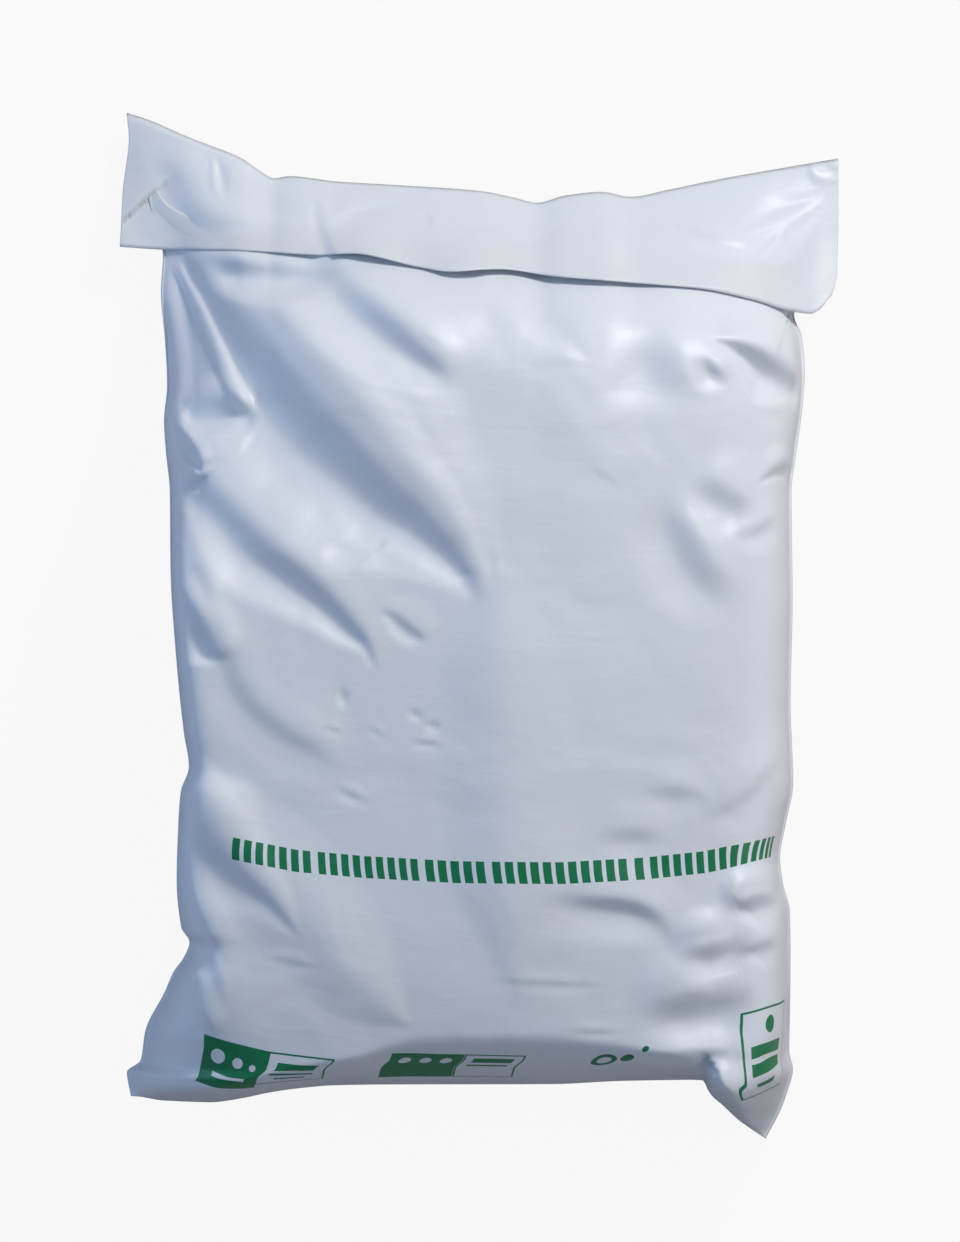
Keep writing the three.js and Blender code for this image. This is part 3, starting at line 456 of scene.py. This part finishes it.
class Shape:
    """The bag's surfaces as heights over its plan."""

    def __init__(self, settings):
        self.width = settings.film_width
        self.length = settings.lay_length
        self.flap = settings.flap_depth
        self.height = settings.fill_height
        self.rise = settings.seam_rise
        self.weld = settings.weld_width
        self.depth = settings.fold_depth

    def share_x(self, x):
        return x / self.width + 0.5

    def share_y(self, y):
        return y / self.length + BELOW

    def left(self, y):
        return -self.width / 2 + curve(LEFT_EDGE, self.share_y(y))

    def right(self, y):
        return self.width / 2 - curve(RIGHT_EDGE, self.share_y(y))

    def bottom(self, x):
        return -BELOW * self.length + curve(BOTTOM_LINE, self.share_x(x))

    def top(self, x):
        return (1 - BELOW) * self.length + curve(TOP_FOLD, self.share_x(x))

    def flap_edge(self, x):
        return (1 - BELOW) * self.length - self.flap + curve(FLAP_EDGE, self.share_x(x))

    def fullness(self, x, y):
        left = self.left(y) + self.weld
        right = self.right(y) - self.weld
        across = (x - (left + right) / 2) / ((right - left) / 2)
        off = np.clip(np.abs(across), 0, 1)
        share = self.share_y(y)
        square = np.where(across < 0, curve(SQUARE_LEFT, share), curve(SQUARE_RIGHT, share))
        sink = np.where(across < 0, curve(SINK_LEFT, share), curve(SINK_RIGHT, share))
        side = (1 - off ** square) ** curve(CROWN_POWER, share) * (1 - sink * off ** SINK_POWER)
        top = curve(CROWN_TOP, np.maximum(self.top(x) - y, 0) / self.length)
        up = np.maximum(y - self.bottom(x), 0)
        slope = 1 - curve(BOTTOM_SLOPE, self.share_x(x)) * (1 - np.clip(up / BOTTOM_REACH, 0, 1)) ** 2
        turn = np.clip(up / curve(BOTTOM_ROUND, self.share_x(x)) + TURN_START, 0, 1)
        return across, side * top * slope * np.sqrt(1 - (1 - turn) ** 2)

    def edge(self, x, y):
        middle = np.maximum(1 - np.abs(2 * self.share_x(x) - BOTTOM_MIDDLE) ** BOTTOM_POWER, 0)
        near_bottom = np.exp(-np.maximum(y - self.bottom(x), 0) / BOTTOM_FADE)
        return self.rise * curve(SEAM_LINE, self.share_y(y)) + BOTTOM_RISE * middle * near_bottom

    def base(self, x, y):
        edge = self.edge(x, y)
        across, full = self.fullness(x, y)
        return edge + (self.height - edge) * full, across

    def front(self, x, y):
        z, across = self.base(x, y)
        clear = ease(-1, CLEAR_LEFT - 1, across) * ease(-1, CLEAR_RIGHT - 1, -across)
        clear = clear * ease(0, CLEAR_BOTTOM, y - self.bottom(x)) * ease(*CLEAR_FLAP, self.flap_edge(x) - y)
        return z + clear * folded(PANEL_FOLDS, x, y) * self.depth

    def back(self, x, y):
        across, _ = self.fullness(x, y)
        side = np.clip((np.abs(across) - REST_SHARE) / (1 - REST_SHARE), 0, 1) ** REST_POWER
        bottom = np.clip(1 - (y - self.bottom(x)) / REST_ROUND, 0, 1) ** EDGE_POWER
        top = np.clip(1 - (self.top(x) - y) / MOUTH_ROUND, 0, 1) ** EDGE_POWER
        return self.edge(x, y) * (1 - (1 - side) * (1 - bottom) * (1 - top))

    def under_flap(self, x, y, free):
        def inside(distance):
            return FLAP_ROLL * (FLAP_ROLL_START + np.logaddexp(0, distance / FLAP_ROLL - 1))

        on_bag = self.left(y) + inside(x - self.left(y))
        on_bag = self.right(y) - inside(self.right(y) - on_bag)
        lift = mix(FLAP_GAP, curve(FLAP_LIFT, self.share_x(x)), free)
        return self.front(on_bag, y) + folded(FLAP_FOLDS, x, y) + lift - np.abs(x - on_bag) * FLAP_FALL


def film_surface(settings):
    """Points, faces, film coordinates and side of every corner of the bag's closed surface."""
    shape = Shape(settings)
    nu, nv, nw = settings.cells_across, settings.cells_along, settings.cells_flap
    u = curve(ACROSS_STEPS, np.linspace(0, 1, nu + 1))
    t = curve(ALONG_STEPS, np.linspace(0, 1, nv + 1))
    u[0], u[-1], t[0], t[-1] = 0, 1, 0, 1
    half = shape.width / 2
    low_x = mix(-half + BOTTOM_CORNERS[0], half - BOTTOM_CORNERS[1], u)
    low_y = shape.bottom(low_x)
    high_x = mix(-half + TOP_CORNER, half, u)
    high_y = shape.top(high_x)
    free_x = mix(-half, half - FLAP_CORNER, u)
    free_y = shape.flap_edge(free_x)
    inner_y = mix(shape.flap_edge(high_x), high_y, curve(FREE_SHARE, u))

    def panel(upper_y, rows):
        left = shape.left(mix(low_y[0], upper_y[0], rows))
        right = shape.right(mix(low_y[-1], upper_y[-1], rows))
        left[0], right[0] = low_x[0], low_x[-1]
        left[-1], right[-1] = high_x[0], high_x[-1]
        return mix(left[:, None], right[:, None], u), mix(low_y, upper_y, rows[:, None])

    fx, fy = panel(inner_y, t)
    fz = shape.front(fx, fy)
    for cut in (np.s_[0, :], np.s_[:, 0], np.s_[:, -1]):
        fz[cut] = shape.edge(fx[cut], fy[cut])
    points = [np.stack([fx, fy, fz], -1).reshape(-1, 3)]
    front = np.arange((nv + 1) * (nu + 1)).reshape(nv + 1, nu + 1)
    count = front.size

    # The back panel has half the rows and columns, and shares its edges with the front.
    bx, by = panel(high_y, t)
    bz = shape.back(bx, by)
    bz = np.maximum(bz - PANEL_GAP * np.minimum(bz / GAP_REACH, 1), 0)
    bz[-1] = shape.edge(bx[-1], by[-1])
    back = np.full((nv + 1, nu + 1), -1)
    back[0], back[:, 0], back[:, -1] = front[0], front[:, 0], front[:, -1]
    keep = np.zeros(back.shape, bool)
    keep[2::2, 2:-1:2] = True
    keep[-1, 1:-1] = True
    back[keep] = count + np.arange(keep.sum())
    points.append(np.stack([bx[keep], by[keep], bz[keep]], -1))
    count += int(keep.sum())

    # The flap, outside and inside.
    w = np.linspace(0, 1, nw + 1)[1:, None]
    bend = curve(FLAP_END_LEFT, w) * (1 - u) + curve(FLAP_END_RIGHT, w) * u
    ox, oy = mix(high_x, free_x, w) + bend, mix(high_y, free_y, w)
    oz = shape.under_flap(ox, oy, ease(0.4, 1, w)) + settings.sheet_build
    ix, iy = mix(high_x, free_x, w) + bend, mix(inner_y, free_y, w)
    iz = shape.under_flap(ix, iy, ease(0, 1, w))
    outer = np.vstack([back[-1][None], count + np.arange(ox.size).reshape(ox.shape)])
    count += ox.size
    under = np.vstack([front[-1][None], count + np.arange(ix.size).reshape(ix.shape)])
    points += [np.stack([ox, oy, oz], -1).reshape(-1, 3), np.stack([ix, iy, iz], -1).reshape(-1, 3)]

    faces = []
    sides = []

    def grid(rows, turned, side):
        a, b, c, d = rows[:-1, :-1], rows[:-1, 1:], rows[1:, 1:], rows[1:, :-1]
        quads = np.stack([a, b, c, d], -1).reshape(-1, 4)
        quads = quads[:, ::-1] if turned else quads
        faces.extend(quads.tolist())
        sides.extend([side] * len(quads))

    grid(front, False, 0)
    grid(outer, True, 2)
    grid(under, False, 3)
    for j in range(0, nv, 2):
        for i in range(0, nu, 2):
            ring = [back[j, i], back[j, i + 1], back[j, i + 2], back[j + 1, i + 2], back[j + 2, i + 2],
                    back[j + 2, i + 1], back[j + 2, i], back[j + 1, i]]
            faces.append([int(k) for k in ring if k >= 0][::-1])
            sides.append(1)
    for end, turned in ((0, False), (-1, True)):
        for k in range(nw):
            strip = [outer[k, end], under[k, end], under[k + 1, end], outer[k + 1, end]]
            strip = list(dict.fromkeys(int(n) for n in strip))
            faces.append(strip[::-1] if turned else strip)
            sides.append(2)
    for i in range(nu):
        strip = [outer[-1, i], under[-1, i], under[-1, i + 1], outer[-1, i + 1]]
        faces.append([int(n) for n in strip])
        sides.append(2)

    place = np.vstack(points)
    place[:, :2] -= (place[:, :2].min(axis=0) + place[:, :2].max(axis=0)) / 2

    # Film coordinates: mm along the unfolded film from the middle and from the line of print.
    film = np.zeros((len(place), 2))
    smooth = np.stack([fx, fy, shape.base(fx, fy)[0]], -1)
    level = np.stack([fx, shape.base(fx, np.maximum(fy, shape.bottom(fx) + PRINT_LEVEL))[0]], -1)
    across = np.concatenate([np.zeros((nv + 1, 1)),
                             np.cumsum(np.linalg.norm(np.diff(level, axis=1), axis=2), axis=1)], axis=1)
    across -= across[:, nu // 2][:, None]
    along = np.concatenate([np.zeros((1, nu + 1)),
                            np.cumsum(np.linalg.norm(np.diff(smooth, axis=0), axis=2), axis=0)], axis=0)
    line = np.array([seen_at(*one) for one in PRINT_LINE])
    for i in range(nu + 1):
        gap = fy[:, i] - np.interp(fx[:, i], line[:, 0], line[:, 1])
        at = np.interp(0, gap, np.arange(nv + 1))
        along[:, i] -= np.interp(at, np.arange(nv + 1), along[:, i])
    film[front.ravel()] = np.stack([across.ravel(), along.ravel()], -1)
    film[back[keep]] = np.stack([across[keep], along[keep]], -1)
    film[outer[1:].ravel()] = np.stack([ox.ravel(), oy.ravel()], -1)
    film[under[1:].ravel()] = np.stack([ix.ravel(), iy.ravel()], -1)
    return place, faces, film, sides


# Materials

# Colour sockets of a mix node, whose names it gives to other kinds of value too.
COLOUR_ONE, COLOUR_OTHER, COLOUR_MIXED = 6, 7, 2


class Nodes:
    """Short ways to lay shader nodes out and join them."""

    def __init__(self, tree):
        self.tree = tree
        self.count = 0

    def add(self, kind, **values):
        node = self.tree.nodes.new(kind)
        node.location = (220 * (self.count % 12) - 2600, -180 * (self.count // 12))
        self.count += 1
        for name, value in values.items():
            setattr(node, name, value)
        return node

    def put(self, socket, value):
        if isinstance(value, bpy.types.NodeSocket):
            self.tree.links.new(value, socket)
        else:
            socket.default_value = value

    def math(self, operation, *values):
        node = self.add("ShaderNodeMath", operation=operation)
        for socket, value in zip(node.inputs, values):
            self.put(socket, value)
        return node.outputs[0]

    def noise(self, vector, scale, detail=2.0, roughness=0.5, distortion=0.0):
        node = self.add("ShaderNodeTexNoise")
        self.put(node.inputs["Vector"], vector)
        node.inputs["Scale"].default_value = scale
        node.inputs["Detail"].default_value = detail
        node.inputs["Roughness"].default_value = roughness
        node.inputs["Distortion"].default_value = distortion
        return node.outputs["Fac"]

    def colours(self, factor, one, other):
        node = self.add("ShaderNodeMix", data_type="RGBA")
        self.put(node.inputs["Factor"], factor)
        self.put(node.inputs[COLOUR_ONE], one)
        self.put(node.inputs[COLOUR_OTHER], other)
        return node.outputs[COLOUR_MIXED]

    def bump(self, height, distance, strength=1.0, normal=None):
        node = self.add("ShaderNodeBump")
        self.put(node.inputs["Height"], height)
        node.inputs["Distance"].default_value = distance
        node.inputs["Strength"].default_value = strength
        if normal is not None:
            self.put(node.inputs["Normal"], normal)
        return node.outputs["Normal"]

    def box(self, across, along, centre, half):
        inside = self.math("COMPARE", across, centre[0], half[0])
        return self.math("MULTIPLY", inside, self.math("COMPARE", along, centre[1], half[1]))

    def disc(self, across, along, centre, radius):
        du = self.math("SUBTRACT", across, centre[0])
        dv = self.math("SUBTRACT", along, centre[1])
        far = self.math("ADD", self.math("MULTIPLY", du, du), self.math("MULTIPLY", dv, dv))
        return self.math("LESS_THAN", far, radius * radius)

    def either(self, *masks):
        out = masks[0]
        for mask in masks[1:]:
            out = self.math("MAXIMUM", out, mask)
        return out

    def without(self, mask, hole):
        return self.math("MULTIPLY", mask, self.math("SUBTRACT", 1.0, hole))

    def outline(self, across, along, centre, half, stroke):
        inner = (half[0] - stroke, half[1] - stroke)
        return self.without(self.box(across, along, centre, half), self.box(across, along, centre, inner))


# Space between bars and half their height, mm.
BAR_GAP = 1.7
BAR_HALF = 4.5
# The right block's slant and shift that set it upright beside the turned corner.
UPRIGHT_SLANT = 0.27
UPRIGHT_SHIFT = 17.5
# Groups of bars in the line of print: start and end, mm across the film, and how many bars.
PRINT_GROUPS = (
    (-101, -69, 7), (-66, -25.5, 9), (-22.5, 1.7, 5), (4.8, 60, 11), (63.2, 66.8, 1), (69.6, 131, 13),
)


def print_mask(n, across, along):
    """Fields and simple shapes that stand where the bag is printed."""
    parts = []
    for start, end, bars in PRINT_GROUPS:
        pitch = (end - start + BAR_GAP) / bars
        local = n.math("FLOORED_MODULO", n.math("SUBTRACT", across, start), pitch)
        bar = n.math("LESS_THAN", local, pitch - BAR_GAP)
        group = n.box(across, along, ((start + end) / 2, 0.0), ((end - start) / 2, BAR_HALF))
        parts.append(n.math("MULTIPLY", bar, group))

    # Left block: a full field with discs, and a framed panel with bars.
    field = n.box(across, along, (-95.5, -95.0), (15.0, 12.0))
    for u, v, r in ((-103.0, -91.0, 3.4), (-93.5, -91.5, 2.4), (-86.5, -92.0, 1.5)):
        field = n.without(field, n.disc(across, along, (u, v), r))
    field = n.without(field, n.box(across, along, (-95.0, -99.5), (9.0, 1.0)))
    parts.append(field)
    parts.append(n.outline(across, along, (-66.5, -93.0), (14.4, 10.0), 0.8))
    parts.append(n.box(across, along, (-66.5, -89.5), (9.5, 2.2)))
    parts.append(n.box(across, along, (-66.5, -94.5), (9.5, 0.7)))
    parts.append(n.box(across, along, (-66.5, -98.0), (6.5, 0.7)))

    # Middle block, cut off by the bottom turn.
    field = n.box(across, along, (-14.5, -92.0), (15.0, 12.5))
    for u in (-23.0, -14.5, -6.0):
        field = n.without(field, n.disc(across, along, (u, -85.0), 2.4))
    parts.append(field)
    parts.append(n.outline(across, along, (13.2, -92.0), (12.5, 12.5), 0.8))
    parts.append(n.box(across, along, (13.2, -84.5), (8.4, 2.0)))
    parts.append(n.box(across, along, (13.2, -89.5), (8.4, 0.8)))

    # Small mark: a ring with two dots beside it.
    ring = (59.0, -83.0)
    parts.append(n.without(n.disc(across, along, ring, 5.2), n.disc(across, along, ring, 3.0)))
    parts.append(n.disc(across, along, (68.0, -80.5), 2.8))
    parts.append(n.disc(across, along, (74.0, -75.0), 1.4))

    # Right block: a plain frame with a disc and bars, set upright beside the turned corner.
    slant = n.math("MULTIPLY", along, UPRIGHT_SLANT)
    upright = n.math("ADD", slant, n.math("ADD", across, UPRIGHT_SHIFT))
    parts.append(n.outline(upright, along, (127.0, -86.0), (18.5, 21.0), 0.9))
    parts.append(n.disc(upright, along, (122.0, -72.5), 3.6))
    parts.append(n.box(upright, along, (124.0, -82.5), (12.0, 2.6)))
    parts.append(n.box(upright, along, (124.0, -91.0), (12.0, 3.2)))
    parts.append(n.box(upright, along, (122.0, -99.5), (8.0, 1.2)))
    return n.either(*parts)


def new_material(name):
    """A material with only an output, its node helper and the output's surface socket."""
    material = bpy.data.materials.new(name)
    material.use_nodes = True
    material.node_tree.nodes.clear()
    n = Nodes(material.node_tree)
    return material, n, n.add("ShaderNodeOutputMaterial").inputs[0]


def film_material():
    material, n, surface = new_material("mailer_film")
    shader = n.add("ShaderNodeBsdfPrincipled")
    n.put(surface, shader.outputs[0])

    film = n.add("ShaderNodeUVMap", uv_map="film").outputs[0]
    place = n.add("ShaderNodeTexCoord").outputs["Object"]
    split = n.add("ShaderNodeSeparateXYZ")
    n.put(split.inputs[0], film)
    across = n.math("MULTIPLY", split.outputs[0], 1 / MM)
    along = n.math("MULTIPLY", split.outputs[1], 1 / MM)
    printed = print_mask(n, across, along)

    # The film is a cool white, a little uneven where it is stretched thin.
    tint = n.colours(n.noise(place, 14.0, 3.0, 0.55), (0.722, 0.773, 0.835, 1), (0.772, 0.818, 0.87, 1))
    ink = n.colours(n.noise(film, 260.0, 2.0, 0.6), (0.0, 0.16, 0.06, 1), (0.004, 0.24, 0.095, 1))
    n.put(shader.inputs["Base Color"], n.colours(printed, tint, ink))

    gloss = n.add("ShaderNodeMapRange")
    n.put(gloss.inputs["Value"], n.noise(place, 45.0, 3.0, 0.6))
    gloss.inputs["From Min"].default_value = 0.3
    gloss.inputs["From Max"].default_value = 0.7
    gloss.inputs["To Min"].default_value = 0.36
    gloss.inputs["To Max"].default_value = 0.46
    n.put(shader.inputs["Roughness"], gloss.outputs[0])
    shader.inputs["Specular IOR Level"].default_value = 0.45
    shader.inputs["Subsurface Weight"].default_value = 0.12
    shader.inputs["Subsurface Radius"].default_value = (0.004, 0.004, 0.005)
    shader.inputs["Subsurface Scale"].default_value = 1.0

    broad = n.bump(n.noise(place, 22.0, 2.0, 0.5, 0.6), 0.0016)
    stretch = n.add("ShaderNodeMapping")
    n.put(stretch.inputs["Vector"], film)
    stretch.inputs["Rotation"].default_value = (0, 0, math.radians(-38))
    stretch.inputs["Scale"].default_value = (0.45, 1.6, 1.0)
    crinkle = n.bump(n.noise(stretch.outputs[0], 60.0, 3.0, 0.5, 1.0), 0.00018, 1.0, broad)
    grain = n.bump(n.noise(film, 900.0, 2.0, 0.5), 0.00003, 1.0, crinkle)
    n.put(shader.inputs["Normal"], grain)
    return material


def floor_material():
    material, n, surface = new_material("pale_floor")
    matt = n.add("ShaderNodeBsdfPrincipled")
    matt.inputs["Base Color"].default_value = (0.58, 0.52, 0.47, 1)
    matt.inputs["Roughness"].default_value = 0.9
    matt.inputs["Specular IOR Level"].default_value = 0.1
    # Seen straight on the floor is nearly white. It lights the bag as plain pale board does.
    white = n.add("ShaderNodeEmission")
    white.inputs[0].default_value = (1.0, 1.0, 1.0, 1)
    seen = n.math("MULTIPLY", n.add("ShaderNodeLightPath").outputs["Is Camera Ray"], 0.92)
    mixed = n.add("ShaderNodeMixShader")
    n.put(mixed.inputs[0], seen)
    n.put(mixed.inputs[1], matt.outputs[0])
    n.put(mixed.inputs[2], white.outputs[0])
    n.put(surface, mixed.outputs[0])
    return material


# Settings

class MailerBagSettings(bpy.types.PropertyGroup):
    """Sizes of the bag, mm, and how finely its surface is divided."""

    film_width: bpy.props.FloatProperty(name="Film width", description="Flat width of the bag", default=300)
    lay_length: bpy.props.FloatProperty(
        name="Lay length", description="From the bottom line to the top fold as the bag lies", default=378.5)
    flap_depth: bpy.props.FloatProperty(name="Flap depth", description="Depth of the flap", default=50)
    fill_height: bpy.props.FloatProperty(
        name="Fill height", description="Height of the filled bag over the ground", default=98)
    seam_rise: bpy.props.FloatProperty(
        name="Seam rise", description="Height of the side seams at their highest", default=38)
    weld_width: bpy.props.FloatProperty(name="Weld width", description="Width of the side welds", default=1.2)
    sheet_build: bpy.props.FloatProperty(
        name="Flap thickness", description="Thickness that the flap is given", default=0.5)
    fold_depth: bpy.props.FloatProperty(
        name="Fold depth", description="Strength of the folds, 1 as photographed", default=1)
    cells_across: bpy.props.IntProperty(name="Cells across", description="Cells across the bag", default=200)
    cells_along: bpy.props.IntProperty(name="Cells along", description="Cells along the bag", default=280)
    cells_flap: bpy.props.IntProperty(name="Flap cells", description="Cells down the flap", default=30)


class MailerStageSettings(bpy.types.PropertyGroup):
    """Floor, light and camera."""

    camera_height: bpy.props.FloatProperty(
        name="Camera height", description="Height of the camera over the ground, m", default=3.6)
    key_power: bpy.props.FloatProperty(
        name="Key power", description="Power of the main light, W", default=18.4)
    fill_power: bpy.props.FloatProperty(
        name="Fill power", description="Power of the light from the left, W", default=8)
    warm_power: bpy.props.FloatProperty(
        name="Warm power", description="Power of the light from the right, W", default=1.6)
    sky: bpy.props.FloatProperty(name="Sky", description="Strength of the light all round", default=0.26)


# Builders

# Shift of the film coordinates of the front, the back, and the flap's outside and inside, m, which keeps the
# print on the front alone.
SIDE_SHIFT = (0.0, -1.0, 1.0, 2.0)
# The floor's size, and how far it lies under the bag so that the two don't touch, m.
FLOOR_SIZE = 8
FLOOR_DROP = 0.0005
# Height over the ground at which the camera's scale is that of the photograph, and its place, m.
SCALE_HEIGHT = 0.02
CAMERA_PLACE = (0.0002, 0.0019)


class MAILER_OT_build_bag(bpy.types.Operator):
    """Build the filled film bag with its flap, welds, folds and print"""
    bl_idname = "mailer.build_bag"
    bl_label = "Build mailer bag"

    def execute(self, context):
        settings = context.scene.mailer_bag
        bpy.ops.object.select_all(action="DESELECT")
        place, faces, film, sides = film_surface(settings)
        mesh = bpy.data.meshes.new("mailer_bag_film")
        mesh.from_pydata((place * MM).tolist(), [], faces)
        if mesh.validate(verbose=False):
            raise RuntimeError("the bag's surface has faulty faces")
        layer = mesh.uv_layers.new(name="film")
        corners = np.empty(len(mesh.loops), np.int32)
        mesh.loops.foreach_get("vertex_index", corners)
        totals = np.empty(len(mesh.polygons), np.int32)
        mesh.polygons.foreach_get("loop_total", totals)
        side = np.repeat(np.array(sides), totals)
        uv = film[corners] * MM
        uv[:, 1] += np.choose(side, SIDE_SHIFT)
        layer.data.foreach_set("uv", uv.astype(np.float32).ravel())
        mesh.polygons.foreach_set("use_smooth", np.ones(len(mesh.polygons), bool))
        mesh.update()
        bag = bpy.data.objects.new("filled_mailer_bag", mesh)
        context.collection.objects.link(bag)
        bag.data.materials.append(film_material())
        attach(bag, "root")
        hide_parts("mailer_bag")
        return {"FINISHED"}


class MAILER_OT_build_stage(bpy.types.Operator):
    """Build the floor, the lights and the camera over the bag"""
    bl_idname = "mailer.build_stage"
    bl_label = "Build stage"

    def execute(self, context):
        settings = context.scene.mailer_stage
        bpy.ops.object.select_all(action="DESELECT")
        bpy.ops.mesh.primitive_plane_add(size=FLOOR_SIZE, location=(0, 0, -FLOOR_DROP))
        floor = context.object
        floor.name = "studio_floor"
        floor.data.materials.append(floor_material())

        def area(name, toward, distance, size, power, colour):
            light = bpy.data.lights.new(name, "AREA")
            light.shape = "DISK"
            light.size = size
            light.energy = power
            light.color = colour
            lamp = bpy.data.objects.new(name, light)
            long = math.sqrt(sum(c * c for c in toward))
            lamp.location = [c / long * distance for c in toward]
            lamp.rotation_euler = lamp.location.to_track_quat("Z", "Y").to_euler()
            context.collection.objects.link(lamp)

        area("key_light", (0.42, 0.66, 0.60), 1.7, 0.5, settings.key_power, (1.0, 0.975, 0.94))
        area("fill_light", (-0.9, 0.1, 0.34), 1.8, 1.2, settings.fill_power, (0.38, 0.6, 1.0))
        area("warm_light", (0.92, -0.3, 0.42), 1.2, 0.7, settings.warm_power, (1.0, 0.93, 0.86))

        world = bpy.data.worlds.new("studio_sky")
        world.use_nodes = True
        sky = world.node_tree.nodes["Background"]
        sky.inputs[0].default_value = (0.7, 0.8, 1.0, 1)
        sky.inputs[1].default_value = settings.sky
        context.scene.world = world

        camera = bpy.data.cameras.new("plan_camera")
        camera.sensor_fit = "HORIZONTAL"
        camera.sensor_width = 36
        seen_height = settings.camera_height - SCALE_HEIGHT
        camera.lens = PIXELS_PER_MM * seen_height / MM * camera.sensor_width / PHOTO_WIDTH
        view = bpy.data.objects.new("plan_camera", camera)
        view.location = (*CAMERA_PLACE, settings.camera_height)
        context.collection.objects.link(view)
        context.scene.camera = view
        context.scene.view_settings.view_transform = "Standard"
        return {"FINISHED"}


class MAILER_PT_panel(bpy.types.Panel):
    """Sizes and builders of the mailer bag"""
    bl_idname = "MAILER_PT_panel"
    bl_label = "Mailer bag"
    bl_space_type = "VIEW_3D"
    bl_region_type = "UI"
    bl_category = "Mailer bag"

    def draw(self, context):
        layout = self.layout
        for settings in (context.scene.mailer_bag, context.scene.mailer_stage):
            for name in settings.__annotations__:
                layout.prop(settings, name)
        layout.operator(MAILER_OT_build_bag.bl_idname)
        layout.operator(MAILER_OT_build_stage.bl_idname)


CLASSES = (
    MailerBagSettings, MailerStageSettings, MAILER_OT_build_bag, MAILER_OT_build_stage, MAILER_PT_panel,
)


def register():
    for one in CLASSES:
        bpy.utils.register_class(one)
    bpy.types.Scene.mailer_bag = bpy.props.PointerProperty(type=MailerBagSettings)
    bpy.types.Scene.mailer_stage = bpy.props.PointerProperty(type=MailerStageSettings)


def unregister():
    del bpy.types.Scene.mailer_stage
    del bpy.types.Scene.mailer_bag
    for one in reversed(CLASSES):
        bpy.utils.unregister_class(one)


def main():
    register()
    for build in (bpy.ops.mailer.build_bag, bpy.ops.mailer.build_stage):
        if build() != {"FINISHED"}:
            raise RuntimeError("a builder did not finish")


if __name__ == "__main__":
    main()
